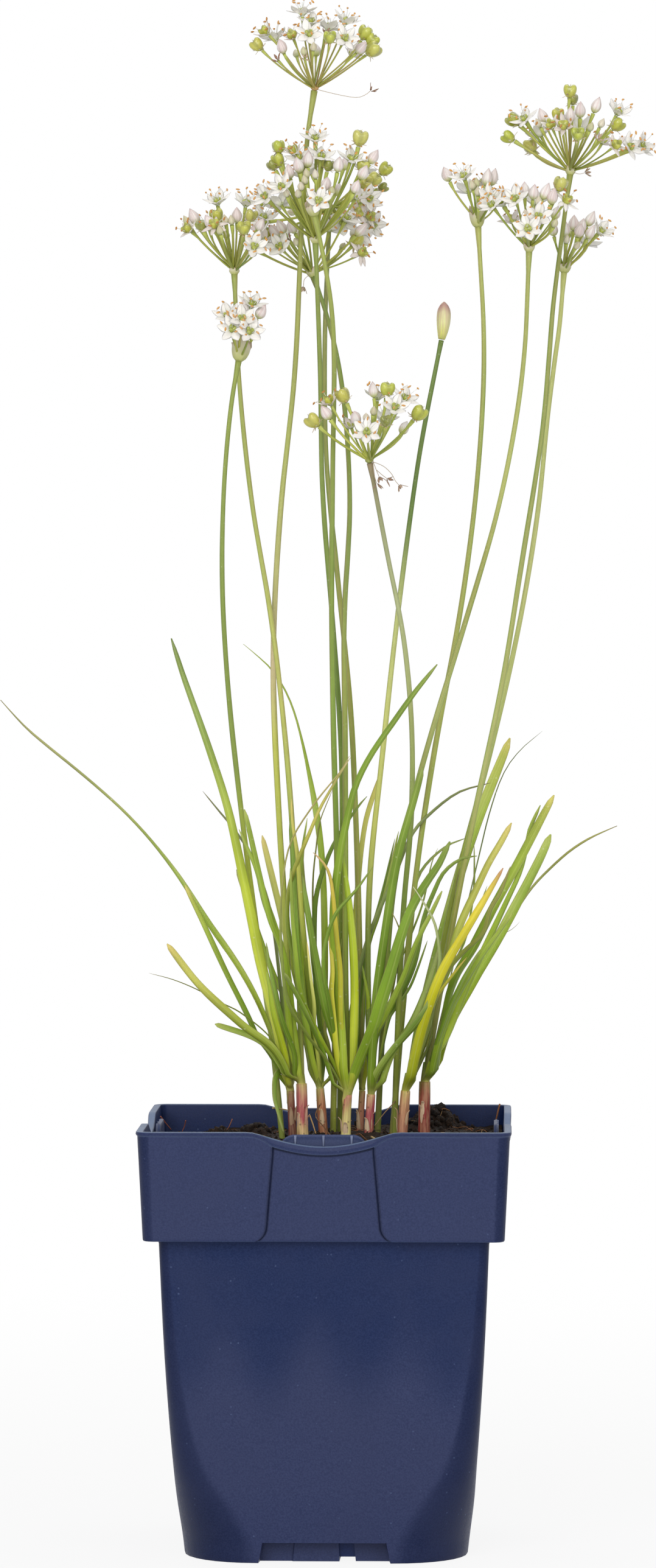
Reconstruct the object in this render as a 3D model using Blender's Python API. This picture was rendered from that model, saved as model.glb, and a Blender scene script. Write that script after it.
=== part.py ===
"""Potted garlic chives: a clump in flower, growing in a square plastic nursery pot.

Metres, +Z up. The origin is the middle of the pot's base, on the surface that it stands on, and the
front of the pot looks along -Y. The tables below are in millimetres.
"""
import math

import bmesh
import bpy
import numpy as np
from mathutils import Matrix, Vector

MM = 0.001
GAP = 0.3                       # between two pieces that touch

# ---------------------------------------------------------------- the pot
POT_HEIGHT = 129.0
WALL = 0.9
FLOOR = 1.2
CORNER_STEPS = 5                # straight pieces in one rounded corner
CLEAR = 57.0                    # from the middle of the pot to past its outside, where cutters end

# Height, half width and corner radius of the outside, from the base to under the collar.
BODY_SECTIONS = [
    (0.0, 42.4, 24.5),
    (6.0, 43.1, 23.5),
    (17.0, 44.4, 17.5),
    (27.0, 45.1, 11.0),
    (44.0, 46.3, 6.6),
    (66.0, 47.6, 4.2),
    (96.5, 48.9, 2.9),
]
COLLAR_BOTTOM = (96.5, 53.4, 3.4)
COLLAR_TOP = (POT_HEIGHT, 55.0, 3.8)
COLLAR_WALL = 1.8
LEDGE = 1.8                     # thickness of the step under the collar

DIP_HALF_WIDTH = 21.6           # the rim sinks in the middle of each side
DIP_DEPTH = 4.0
DIP_STEPS = 10
DIP_BACK = 51.1                 # it stops short of the label plate, from the middle of the pot
PANEL_TOP_HALF = 15.0           # sunk panel under each dip
PANEL_BOTTOM_HALF = 16.8
PANEL_DEPTH = 0.8
PANEL_LIP = 6.5                 # from the rim down to the panel's upper edge

LABEL_WIDTH = 26.0              # plate of the plant label pocket, behind each dip
LABEL_FACE = 51.0               # its outer face, from the middle of the pot
LABEL_WEB_END = 53.2            # its side walls end inside the collar's wall
LABEL_BOTTOM = 107.0
LABEL_TOP = POT_HEIGHT - 0.9
LABEL_CORNER = 2.2

NOTCH_TOP_HALF = 18.3           # drainage notch in the foot of each side
NOTCH_BOTTOM_HALF = 19.6
NOTCH_HEIGHT = 6.2
NOTCH_BACK = 37.0               # its back wall, from the middle of the pot
DRAIN_WIDTH = 5.0
DRAIN_HEIGHT = 5.0
DRAIN_OFFSET = 7.0              # the drain slot stands beside the middle of the notch

# ---------------------------------------------------------------- the soil
SOIL_LEVEL = 122.4
SOIL_SLOPE = 0.035              # it rises towards the right
SOIL_WAVE = 0.7
HEAP_MIDDLE = (31, 41)
HEAP_HEIGHT = 3.6
HEAP_SPREAD = 60
SOIL_CLEARANCE = 0.35
SOIL_RINGS = (1.0, 0.84, 0.68, 0.52, 0.34, 0.16)
POCKET_FLOOR = 112.0            # stems are planted down to here
STEM_FOOT = POCKET_FLOOR + GAP
HOLE_TOP = POT_HEIGHT - 3.0     # above all the soil round the stems

# ---------------------------------------------------------------- the plant
CLUMP_TURN = 1.5                # degrees, of the whole clump in its pot

# A shoot: its foot (x, y), the top of its sheath (x, y, z) and the sheath's radius.
SHOOTS = {
    "left": ((-10.0, 4.0), (-11.4, 4.2, 137.0), 1.15),
    "pink": ((-7.4, -1.0), (-8.0, -1.0, 139.5), 1.6),
    "tawny": ((-0.6, 6.0), (-2.4, 6.4, 137.5), 1.3),
    "cream": ((5.0, 0.5), (5.9, 0.5, 136.0), 1.35),
    "slim": ((9.2, 9.5), (10.4, 9.8, 136.5), 0.95),
    "rose": ((11.8, 2.0), (13.0, 2.2, 136.0), 1.3),
    "tan": ((21.6, 2.5), (23.4, 2.8, 137.0), 1.45),
    "red": ((29.0, 7.0), (29.4, 7.2, 139.5), 1.7),
}
SHEATH_BEND = SOIL_LEVEL + 3    # a sheath stands straight up to here
SHEATH_SIDES = 8
SHEATH_TAPER = (1.12, 1.1, 1.05, 0.98, 0.92)

# A scape: the shoot that it stands on, or its foot (x, y) in the soil, then points up to its tip.
SCAPES = [
    ("left", [(-12.5, 3, 181), (-15, 2, 224), (-16.5, 1, 267), (-14.5, 1, 310), (-10, 0, 354),
              (-8, -1, 397), (-6.2, -2, 424), (-3.9, -2, 440)]),
    ((3.6, 19.0), [(4, 17, 164), (4.3, 14, 203), (4, 10, 241), (1.4, 5, 279), (-1.6, 0, 318),
                   (-2.4, -4, 356), (-3.8, -8, 394)]),
    ("slim", [(9.7, 13, 175), (8.7, 16, 213), (6.9, 20, 252), (3.2, 24, 290), (-0.5, 28, 329),
              (-0.9, 31, 368), (0.7, 34, 406)]),
    ("cream", [(5.3, 2, 174), (5.3, 3, 209), (5.2, 4, 244), (4.9, 5, 279), (6.6, 8, 314),
               (4.9, 11, 345), (1, 13, 367), (-5, 14, 385)]),
    ((1.4, 14.0), [(2.3, 8, 166), (2.7, 2, 205), (1.7, -4, 245), (1.1, -10, 284), (1.4, -16, 323),
                   (1.8, -21, 360), (0, -24, 380), (-4.3, -28, 401)]),
    ("pink", [(-8.8, -1, 175), (-10.3, -2, 210), (-13, -2, 245), (-17.1, -3, 280), (-22.9, -3, 315),
              (-26.6, -4, 350), (-28.2, -4, 385)]),
    ((-13.0, 10.0), [(-15.6, 8, 140), (-18, 5, 160), (-22.5, 1, 193), (-26.6, -4, 226), (-30, -8, 259),
                     (-31.7, -13, 292), (-30.8, -17, 324), (-28, -21, 350), (-26.4, -22, 358)]),
    ((20.2, 8.5), [(20.6, 6, 139), (21.5, 0, 166), (22.8, -5, 193), (25, -10, 220), (25.1, -15, 247),
                   (22.6, -20, 274), (17.5, -25, 300), (12.3, -30, 327)]),
    ("rose", [(12.1, 4, 171), (12.8, 4, 203), (16.2, 5, 236), (19.6, 6, 268), (23.5, 7, 300),
              (28.1, 7, 332), (34.3, 8, 364)]),
    ((18.8, 14.5), [(23.1, 13, 165), (27, 12, 204), (32.9, 11, 243), (40.1, 9, 282), (45.1, 8, 321),
                    (47.2, 7, 360), (45.3, 6, 399)]),
    ((14.6, 18.5), [(17.2, 13, 164), (20.6, 9, 202), (29.8, 4, 240), (41.2, 0, 278), (51.9, -5, 316),
                    (58.4, -9, 354), (60.2, -14, 391)]),
    ("red", [(36.2, 7, 179), (43.8, 8, 218), (52.3, 8, 258), (58.7, 9, 297), (65, 9, 337),
             (69.1, 8, 376), (73.4, 8, 416)]),
    ((27.8, 17.0), [(32.3, 16, 163), (39.2, 15, 200), (48.8, 15, 237), (57.6, 16, 275), (63.8, 17, 312),
                    (67.5, 18, 349), (71.9, 20, 386)]),
]
SCAPE_FOOT_RADIUS = 0.9
SCAPE_TIP_RADIUS = 0.62
SCAPE_SIDES = 6
SCAPE_STEPS = 20

# A flower head for each scape but the one with the closed bud: the number of flowers that stand for
# it, how far they reach from the scape's tip, how far they open (degrees from its axis), which way
# they lean (x, y, z), and the turn of the first one.
HEADS = [
    (13, 22.0, 54, (0.0, 0.0, 1.0), 20),
    (13, 20.0, 58, (0.1, -0.1, 1.0), 75),
    (12, 22.0, 52, (0.0, 0.2, 1.0), 10),
    (12, 19.0, 66, (0.0, 0.2, 1.0), 40),
    (2, 5.0, 40, (0.8, -0.5, 0.3), 0),
    (11, 20.0, 44, (-0.1, -0.1, 1.0), 55),
    (6, 13.0, 36, (0.0, -0.2, 1.0), 100),
    (11, 19.0, 52, (0.0, -0.2, 1.0), 130),
    None,
    (6, 15.5, 34, (-0.15, 0.0, 1.0), 30),
    (11, 16.5, 48, (0.0, -0.1, 1.0), 15),
    (13, 22.0, 68, (0.0, 0.0, 1.0), 60),
    (7, 14.5, 42, (0.35, 0.1, 1.0), 85),
]
HEAD_CORE = 1.3                 # radius of the knob that the rays grow from
GOLDEN_ANGLE = 137.5
# A flower on its ray: distance past the head's reach, and radius.
FLOWER_PROFILE = [(-3.5, 0.34), (-2.0, 2.3), (0.0, 3.3), (2.0, 2.0)]
BUD_PROFILE = [(0.0, 0.7), (1.6, 1.7), (4.0, 2.1), (7.0, 1.7), (9.6, 0.9), (12.4, 0.25)]

# A leaf: its shoot, the side of the sheath that it leaves (degrees from +X towards +Y), its points
# up to the tip, its width, and the way that its face looks near the tip (degrees as well).
LEAVES = [
    ("left", 265, [(-14.8, -3, 154), (-20, -5, 175), (-24, -7, 195), (-33, -9, 235), (-47, -12, 274)],
     2.9, 262),
    ("left", 160, [(-15, 4.4, 148), (-24, 3, 170), (-36, 8, 187), (-63, 15, 222), (-99, 21, 256)], 2.3, 285),
    ("left", 212, [(-16.4, 1, 147), (-23, -2, 160), (-31, -6, 175), (-43, -12, 200)], 1.8, 255),
    ("pink", 225, [(-16, -9, 151), (-27, -15, 161), (-38, -20, 171), (-48, -25, 183)], 2.4, 280),
    ("pink", 178, [(-15, -4, 146), (-21, -6, 153), (-34, -9, 158)], 1.9, 300),
    ("pink", 275, [(-11, -7, 162), (-13, -12, 178), (-18, -17, 192), (-25, -21, 223)], 2.2, 240),
    ("tawny", 150, [(-8, 11, 155), (-17, 19, 172), (-28, 28, 203)], 1.8, 300),
    ("tawny", 75, [(-1, 12, 179), (-3, 20, 216), (-11, 27, 248), (-26, 33, 272)], 1.9, 260),
    ("tawny", 205, [(-7, 8, 158), (-11, 10, 177), (-20, 13, 214)], 1.9, 285),
    ("tawny", 270, [(-5, 1, 161), (-8, -8, 190), (-10, -16, 226)], 1.8, 250),
    ("cream", 258, [(3, -8, 170), (2, -14, 197), (10, -20, 232), (33, -27, 266)], 2.7, 285),
    ("cream", 318, [(8, -6, 165), (7, -10, 188), (4, -13, 211)], 2.6, 262),
    ("cream", 200, [(-2, -3, 150), (-7, -12, 162), (-13, -20, 174)], 2.0, 230),
    ("slim", 100, [(9, 17, 157), (8, 22, 180), (11, 28, 215), (17, 32, 234)], 1.8, 275),
    ("rose", 255, [(14, -8, 160), (16, -15, 185), (20, -23, 210), (28, -31, 236)], 2.3, 255),
    ("rose", 310, [(19, -3, 148), (25, -5, 158), (30, -6, 170), (34, -7, 183)], 2.1, 240),
    ("tan", 60, [(28, 15, 155), (35, 25, 183), (44, 33, 213), (56, 40, 243)], 3.1, 280),
    ("tan", 335, [(28, -1, 154), (38, -1, 177), (47, 0, 198), (56, 1, 218)], 2.2, 262),
    ("tan", 272, [(27, -8, 152), (33, -18, 172), (41, -26, 187), (52, -34, 206)], 2.6, 250),
    ("red", 345, [(37, 0, 166), (46, -7, 182), (57, -13, 203), (68, -18, 227)], 3.4, 285),
    ("red", 45, [(37, 12, 154), (45, 15, 169), (54, 18, 185), (68, 22, 214)], 3.1, 258),
    ("red", 105, [(36, 19, 152), (46, 27, 168), (62, 33, 190), (89, 39, 216)], 1.7, 290),
    ("red", 285, [(35, -5, 157), (43, -14, 174), (55, -24, 192)], 2.6, 300),
]
LEAF_THICKNESS = 0.8
LEAF_SIDES = 4
LEAF_STEPS = 13
LEAF_START = 4.0                # a leaf starts this far below the top of its sheath
LEAF_TWIST = 0.45               # share of its length in which its face turns
# Share of the full width along a leaf, from its foot to its rounded tip.
LEAF_TAPER = [(0.0, 0.72), (0.15, 0.95), (0.5, 1.0), (0.8, 0.85), (0.95, 0.5), (1.0, 0.16)]

# Colour, roughness and metallic value of each material.
FINISHES = {
    "pot": ((0.030, 0.045, 0.125), 0.45, 0.0),
    "soil": ((0.030, 0.018, 0.010), 0.95, 0.0),
    "sheath": ((0.42, 0.17, 0.14), 0.5, 0.0),
    "scape": ((0.22, 0.34, 0.10), 0.45, 0.0),
    "flower": ((0.80, 0.80, 0.74), 0.6, 0.0),
    "bud": ((0.55, 0.58, 0.30), 0.6, 0.0),
    "leaf": ((0.20, 0.36, 0.06), 0.45, 0.0),
}


# ---------------------------------------------------------------- helpers
def clear_scene():
    for item in list(bpy.data.objects):
        bpy.data.objects.remove(item, do_unlink=True)


def make_materials():
    made = {}
    for name, (colour, roughness, metallic) in FINISHES.items():
        material = bpy.data.materials.new(name)
        material.use_nodes = True
        shader = material.node_tree.nodes["Principled BSDF"]
        shader.inputs["Base Color"].default_value = (*colour, 1.0)
        shader.inputs["Roughness"].default_value = roughness
        shader.inputs["Metallic"].default_value = metallic
        made[name] = material
    return made


def add_object(name, bm, material, parent=None, place=(0, 0, 0), smooth=True):
    """Turn a bmesh in millimetres into an object in metres, with its origin at place."""
    bmesh.ops.recalc_face_normals(bm, faces=bm.faces)
    bmesh.ops.scale(bm, vec=(MM, MM, MM), verts=bm.verts)
    mesh = bpy.data.meshes.new(name)
    bm.to_mesh(mesh)
    bm.free()
    if smooth:
        mesh.shade_smooth()
        mesh.set_sharp_from_angle(angle=math.radians(35))
    obj = bpy.data.objects.new(name, mesh)
    bpy.context.collection.objects.link(obj)
    obj.location = Vector(place) * MM
    obj.parent = parent
    if material:
        mesh.materials.append(material)
    return obj


def smooth_path(points, steps):
    """Evenly spaced points on a smooth curve (Catmull-Rom) through a few hand-placed ones."""
    knots = np.array(points, float)
    ends = [2 * knots[0] - knots[1], *knots, 2 * knots[-1] - knots[-2]]
    fine = []
    for before, start, stop, after in zip(ends, ends[1:], ends[2:], ends[3:]):
        for t in np.linspace(0, 1, 24, endpoint=False):
            fine.append(0.5 * (2 * start + (stop - before) * t
                               + (2 * before - 5 * start + 4 * stop - after) * t ** 2
                               + (3 * start - before - 3 * stop + after) * t ** 3))
    fine.append(knots[-1])
    fine = np.array(fine)
    length = np.r_[0, np.cumsum(np.linalg.norm(np.diff(fine, axis=0), axis=1))]
    even = np.linspace(0, length[-1], steps + 1)
    return [Vector([np.interp(s, length, fine[:, axis]) for axis in range(3)]) for s in even]


def ring_matrix(path, index, facing, half_width, half_depth):
    """Frame of one cross-section: across the piece, out of its face and along it."""
    before, after = path[max(index - 1, 0)], path[min(index + 1, len(path) - 1)]
    along = (after - before).normalized()
    across = along.cross(facing).normalized()
    outward = across.cross(along)
    frame = Matrix((across * half_width, outward * half_depth, along)).transposed().to_4x4()
    return Matrix.Translation(path[index] - path[0]) @ frame


def sweep(path, facings, half_widths, half_depths, sides):
    """Solid along a path: a ring of points, extruded from section to section and capped."""
    bm = bmesh.new()
    bmesh.ops.create_circle(bm, segments=sides, radius=1.0)
    frames = [ring_matrix(path, k, facings[k], half_widths[k], half_depths[k]) for k in range(len(path))]
    bmesh.ops.transform(bm, matrix=frames[0], verts=bm.verts)
    ring = list(bm.edges)
    bmesh.ops.holes_fill(bm, edges=ring)
    for last, frame in zip(frames, frames[1:]):
        grown = bmesh.ops.extrude_edge_only(bm, edges=ring)["geom"]
        new_points = [item for item in grown if isinstance(item, bmesh.types.BMVert)]
        bmesh.ops.transform(bm, matrix=frame @ last.inverted(), verts=new_points)
        ring = [item for item in grown if isinstance(item, bmesh.types.BMEdge)
                and all(end in new_points for end in item.verts)]
    bmesh.ops.holes_fill(bm, edges=ring)
    return bm


# ---------------------------------------------------------------- the pot
def rounded_square(bm, height, half, radius):
    """A level ring of points: a square with round corners."""
    ring = []
    for quarter in range(4):
        middle = Vector((half - radius, half - radius, height))
        for step in range(CORNER_STEPS + 1):
            angle = math.radians(90 * step / CORNER_STEPS)
            point = middle + Vector((math.cos(angle), math.sin(angle), 0)) * radius
            ring.append(bm.verts.new(Matrix.Rotation(math.radians(90 * quarter), 4, "Z") @ point))
    return ring


def loft(bm, sections):
    """Join level rings into one closed skin, with a cap at each end."""
    rings = [rounded_square(bm, *section) for section in sections]
    for below, above in zip(rings, rings[1:]):
        for k in range(len(below)):
            bm.faces.new((below[k - 1], below[k], above[k], above[k - 1]))
    bm.faces.new(rings[0])
    bm.faces.new(rings[-1])
    return rings


def shrunk(section, amount, lift=0.0):
    height, half, radius = section
    return (height + lift, half - amount, max(radius - amount, 0.6))


def body_section(height):
    """The outside of the pot's body at any height below the collar."""
    heights, halves, radii = zip(*BODY_SECTIONS)
    return (height, float(np.interp(height, heights, halves)), float(np.interp(height, heights, radii)))


def side_prism(name, outline, near, far, quarter, taper=0.0):
    """A cutter or an addition on one side of the pot: an outline (x, z) run from near to far.

    With a taper, both ends lean outwards with height, as the side of the collar does.
    """
    bm = bmesh.new()
    face = bm.faces.new([bm.verts.new((x, -far, z)) for x, z in outline])
    grown = bmesh.ops.extrude_face_region(bm, geom=[face], use_keep_orig=True)["geom"]
    moved = [item for item in grown if isinstance(item, bmesh.types.BMVert)]
    bmesh.ops.translate(bm, vec=(0, far - near, 0), verts=moved)
    for vert in bm.verts:
        vert.co.y -= taper * (vert.co.z - COLLAR_BOTTOM[0])
    bmesh.ops.rotate(bm, matrix=Matrix.Rotation(math.radians(90 * quarter), 3, "Z"), verts=bm.verts)
    return add_object(f"{name}_{quarter}", bm, None, smooth=False)


def rectangle(half, bottom, top, middle=0.0):
    return [(middle - half, bottom), (middle + half, bottom), (middle + half, top), (middle - half, top)]


def dip_outline():
    """The space above the sunken part of the rim."""
    curve = []
    for step in range(DIP_STEPS + 1):
        share = 2 * step / DIP_STEPS - 1
        curve.append((share * DIP_HALF_WIDTH, POT_HEIGHT - DIP_DEPTH * (1 - share ** 2)))
    return curve + [(DIP_HALF_WIDTH, POT_HEIGHT + 2), (-DIP_HALF_WIDTH, POT_HEIGHT + 2)]


def panel_outline():
    top, bottom = POT_HEIGHT - PANEL_LIP, COLLAR_BOTTOM[0] - 1
    return [(-PANEL_BOTTOM_HALF, bottom), (PANEL_BOTTOM_HALF, bottom),
            (PANEL_TOP_HALF, top), (-PANEL_TOP_HALF, top)]


def label_outline():
    """The label plate, with its upper corners cut off."""
    half = LABEL_WIDTH / 2
    return [(-half, LABEL_BOTTOM), (half, LABEL_BOTTOM), (half, LABEL_TOP - LABEL_CORNER),
            (half - LABEL_CORNER, LABEL_TOP), (LABEL_CORNER - half, LABEL_TOP),
            (-half, LABEL_TOP - LABEL_CORNER)]


def notch_outline():
    return [(-NOTCH_BOTTOM_HALF, -1), (NOTCH_BOTTOM_HALF, -1), (NOTCH_TOP_HALF, NOTCH_HEIGHT),
            (-NOTCH_TOP_HALF, NOTCH_HEIGHT)]


def add_boolean(obj, tools, operation):
    """Apply a group of hidden tool objects to a piece with one Boolean modifier."""
    group = bpy.data.collections.new(f"{obj.name}_{operation.lower()}")
    for tool in tools:
        bpy.context.collection.objects.unlink(tool)
        group.objects.link(tool)
        tool.display_type = "WIRE"
        tool.hide_render = True
    bpy.context.scene.collection.children.link(group)
    modifier = obj.modifiers.new(operation.title(), "BOOLEAN")
    modifier.operation = operation
    modifier.operand_type = "COLLECTION"
    modifier.collection = group
    modifier.solver = "EXACT"


def make_pot(material):
    bm = bmesh.new()
    collar_inside = [shrunk(COLLAR_TOP, COLLAR_WALL), shrunk(COLLAR_BOTTOM, COLLAR_WALL, LEDGE)]
    body_inside = [shrunk(section, WALL) for section in reversed(BODY_SECTIONS[1:-1])]
    loft(bm, [
        *BODY_SECTIONS, COLLAR_BOTTOM, COLLAR_TOP, *collar_inside,
        shrunk(BODY_SECTIONS[-1], WALL, LEDGE), *body_inside, shrunk(body_section(FLOOR), WALL),
    ])
    pot = add_object("pot", bm, material)
    added, cut = [], []
    web = LABEL_WIDTH / 2 - WALL / 2
    taper = (COLLAR_TOP[1] - COLLAR_BOTTOM[1]) / (COLLAR_TOP[0] - COLLAR_BOTTOM[0])
    panel_face = COLLAR_BOTTOM[1] - PANEL_DEPTH
    foot_face = BODY_SECTIONS[0][1] - WALL / 4
    for quarter in range(4):
        housing = rectangle(NOTCH_BOTTOM_HALF + WALL, FLOOR / 2, NOTCH_HEIGHT + WALL)
        added += [
            side_prism("label_plate", label_outline(), LABEL_FACE - WALL, LABEL_FACE, quarter),
            side_prism("notch_housing", housing, NOTCH_BACK - WALL, foot_face, quarter),
        ]
        for side in (-web, web):
            outline = rectangle(WALL / 2, LABEL_BOTTOM, LABEL_TOP - LABEL_CORNER, side)
            name = "label_web_left" if side < 0 else "label_web_right"
            added.append(side_prism(name, outline, LABEL_FACE - WALL / 2, LABEL_WEB_END, quarter))
        drain = rectangle(DRAIN_WIDTH / 2, -1, DRAIN_HEIGHT, DRAIN_OFFSET)
        cut += [
            side_prism("dip", dip_outline(), DIP_BACK, CLEAR, quarter),
            side_prism("panel", panel_outline(), panel_face, CLEAR, quarter, taper),
            side_prism("notch", notch_outline(), NOTCH_BACK, CLEAR, quarter),
            side_prism("drain", drain, NOTCH_BACK - 3, NOTCH_BACK + 1, quarter),
        ]
    add_boolean(pot, added, "UNION")
    add_boolean(pot, cut, "DIFFERENCE")
    return pot


# ---------------------------------------------------------------- the soil
def soil_height(x, y):
    """Gentle heaps and hollows: lowest at the left, with a heap at the back on the right."""
    level = SOIL_LEVEL + SOIL_SLOPE * min(x, 12) + SOIL_WAVE * math.sin(0.16 * x + 1) * math.cos(0.19 * y)
    from_heap = (x - HEAP_MIDDLE[0]) ** 2 + (y - HEAP_MIDDLE[1]) ** 2
    return level + HEAP_HEIGHT * math.exp(-from_heap / HEAP_SPREAD)


def planting_hole(path, radii, sides, clump):
    """A cutter for the hole that a stem stands in: the stem's own foot, a gap wider and deeper."""
    count = 1 + next(k for k, point in enumerate(path) if point.z > HOLE_TOP)
    wider = [radius + GAP for radius in radii[:count]]
    deeper = [path[0] - (path[1] - path[0]).normalized() * GAP, *path[1:count]]
    bm = upright_sweep(deeper, wider, sides)
    return add_object("planting_hole", bm, None, clump, deeper[0], smooth=False)


def make_soil(material, clump):
    clearance = WALL + SOIL_CLEARANCE
    collar_clearance = COLLAR_WALL + SOIL_CLEARANCE
    share = (SOIL_LEVEL - COLLAR_BOTTOM[0]) / (COLLAR_TOP[0] - COLLAR_BOTTOM[0])
    edge = [low + share * (high - low) for low, high in zip(COLLAR_BOTTOM, COLLAR_TOP)]
    bm = bmesh.new()
    rings = loft(bm, [
        shrunk(body_section(FLOOR + SOIL_CLEARANCE), clearance),
        *[shrunk(section, clearance) for section in BODY_SECTIONS[1:-1]],
        shrunk(BODY_SECTIONS[-1], clearance, LEDGE + SOIL_CLEARANCE),
        shrunk(COLLAR_BOTTOM, collar_clearance, LEDGE + SOIL_CLEARANCE),
        *[(edge[0], (edge[1] - collar_clearance) * ring, edge[2] * ring) for ring in SOIL_RINGS],
    ])
    for ring in rings[-len(SOIL_RINGS):]:
        for vert in ring:
            vert.co.z = soil_height(vert.co.x, vert.co.y)
    bmesh.ops.triangulate(bm, faces=bm.faces)
    soil = add_object("soil", bm, material)
    cut = []
    for quarter in range(4):
        around_label = rectangle(LABEL_WIDTH / 2 + SOIL_CLEARANCE, LABEL_BOTTOM - SOIL_CLEARANCE, POT_HEIGHT)
        around_notch = rectangle(NOTCH_BOTTOM_HALF + clearance, 0, NOTCH_HEIGHT + clearance)
        label_back = LABEL_FACE - WALL - SOIL_CLEARANCE
        notch_back = NOTCH_BACK - clearance
        cut += [
            side_prism("label_room", around_label, label_back, CLEAR, quarter),
            side_prism("notch_room", around_notch, notch_back, CLEAR, quarter),
        ]
    cut += [planting_hole(*sheath_shape(foot, top, radius), SHEATH_SIDES, clump)
            for foot, top, radius in SHOOTS.values()]
    cut += [planting_hole(*scape_shape(foot, points), SCAPE_SIDES, clump)
            for foot, points in SCAPES if not isinstance(foot, str)]
    add_boolean(soil, cut, "DIFFERENCE")
    return soil


# ---------------------------------------------------------------- the plant
def compass(angle):
    return Vector((math.cos(math.radians(angle)), math.sin(math.radians(angle)), 0))


def turned_facings(start, stop, count):
    """Level directions that turn from one compass angle to another along a piece, the short way."""
    turn = (stop - start + 90) % 180 - 90
    return [compass(start + turn * min(1.0, k / (count - 1) / LEAF_TWIST)) for k in range(count)]


def upright_sweep(path, radii, sides):
    return sweep(path, [compass(90)] * len(path), radii, radii, sides)


def sheath_shape(foot, top, radius):
    middle = ((foot[0] + top[0]) / 2, (foot[1] + top[1]) / 2, SHEATH_BEND)
    path = smooth_path([(*foot, STEM_FOOT), middle, top], len(SHEATH_TAPER) - 1)
    return path, [radius * share for share in SHEATH_TAPER]


def make_sheath(name, foot, top, radius, material, clump):
    path, radii = sheath_shape(foot, top, radius)
    return add_object(f"sheath_{name}", upright_sweep(path, radii, SHEATH_SIDES), material, clump, path[0])


def scape_shape(foot, points):
    """A scape starts on top of its sheath, or down in the soil."""
    if isinstance(foot, str):
        x, y, z = SHOOTS[foot][1]
        start = (x, y, z + GAP)
    else:
        start = (*foot, STEM_FOOT)
    path = smooth_path([start, *points], SCAPE_STEPS)
    return path, list(np.linspace(SCAPE_FOOT_RADIUS, SCAPE_TIP_RADIUS, len(path)))


def make_scape(number, path, radii, material, clump):
    bm = upright_sweep(path, radii, SCAPE_SIDES)
    return add_object(f"scape_{number:02d}", bm, material, clump, path[0])


def ray_directions(count, spread, turn):
    """Directions spread evenly over a dome, in a golden-angle spiral from its top down."""
    for k in range(count):
        tilt = math.radians(spread * math.sqrt((k + 0.35) / count))
        around = math.radians(turn + GOLDEN_ANGLE * k)
        yield Vector((math.sin(tilt) * math.cos(around), math.sin(tilt) * math.sin(around), math.cos(tilt)))


def move_face(face, direction, distance, radius):
    """Put a three-sided face square across a ray, at a distance from the middle of the head."""
    middle = face.calc_center_median()
    for vert in face.verts:
        spoke = vert.co - middle
        spoke = (spoke - direction * spoke.dot(direction)).normalized()
        vert.co = direction * distance + spoke * radius


def make_head(number, tip, along, flowers, reach, spread, lean, turn, material, clump):
    """A flower head: a small knob with rays pulled out of it, each ending in a flower."""
    bm = bmesh.new()
    bmesh.ops.create_icosphere(bm, subdivisions=2, radius=HEAD_CORE)
    upright = Vector(lean).to_track_quat("Z", "Y")
    free = list(bm.faces)
    for direction in [upright @ ray for ray in ray_directions(flowers, spread, turn)]:
        face = max(free, key=lambda f: f.calc_center_median().normalized().dot(direction))
        free.remove(face)
        for past_reach, radius in FLOWER_PROFILE:
            face = bmesh.ops.extrude_discrete_faces(bm, faces=[face])["faces"][0]
            move_face(face, direction, reach + past_reach, radius)
    place = tip + along * (HEAD_CORE + GAP)
    return add_object(f"flower_head_{number:02d}", bm, material, clump, place, smooth=False)


def make_bud(tip, along, material, clump):
    """The closed bud in its pointed sheath."""
    path = [tip + along * (GAP + height) for height, radius in BUD_PROFILE]
    radii = [radius for height, radius in BUD_PROFILE]
    return add_object("closed_bud", upright_sweep(path, radii, SHEATH_SIDES), material, clump, path[0])


def make_leaf(number, shoot, side, points, width, face, material, clump):
    foot, top, radius = SHOOTS[shoot]
    stand_off = radius + GAP + LEAF_THICKNESS / 2
    start = Vector(top) + compass(side) * stand_off - Vector((0, 0, LEAF_START))
    path = smooth_path([start, *points], LEAF_STEPS)
    shares, tapers = zip(*LEAF_TAPER)
    halves = [width / 2 * float(np.interp(k / LEAF_STEPS, shares, tapers)) for k in range(LEAF_STEPS + 1)]
    depths = [min(LEAF_THICKNESS / 2, half) for half in halves]
    facings = turned_facings(side, face, len(path))
    bm = sweep(path, facings, halves, depths, LEAF_SIDES)
    return add_object(f"leaf_{number:02d}", bm, material, clump, path[0])


def make_plant(materials, clump):
    for name, (foot, top, radius) in SHOOTS.items():
        make_sheath(name, foot, top, radius, materials["sheath"], clump)
    for number, ((foot, points), head) in enumerate(zip(SCAPES, HEADS), 1):
        path, radii = scape_shape(foot, points)
        make_scape(number, path, radii, materials["scape"], clump)
        along = (path[-1] - path[-2]).normalized()
        if head:
            make_head(number, path[-1], along, *head, materials["flower"], clump)
        else:
            make_bud(path[-1], along, materials["bud"], clump)
    for number, leaf in enumerate(LEAVES, 1):
        make_leaf(number, *leaf, materials["leaf"], clump)


def main():
    clear_scene()
    materials = make_materials()
    clump = bpy.data.objects.new("clump", None)
    bpy.context.collection.objects.link(clump)
    clump.rotation_euler.z = math.radians(CLUMP_TURN)
    make_pot(materials["pot"])
    make_soil(materials["soil"], clump)
    make_plant(materials, clump)


main()
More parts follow.
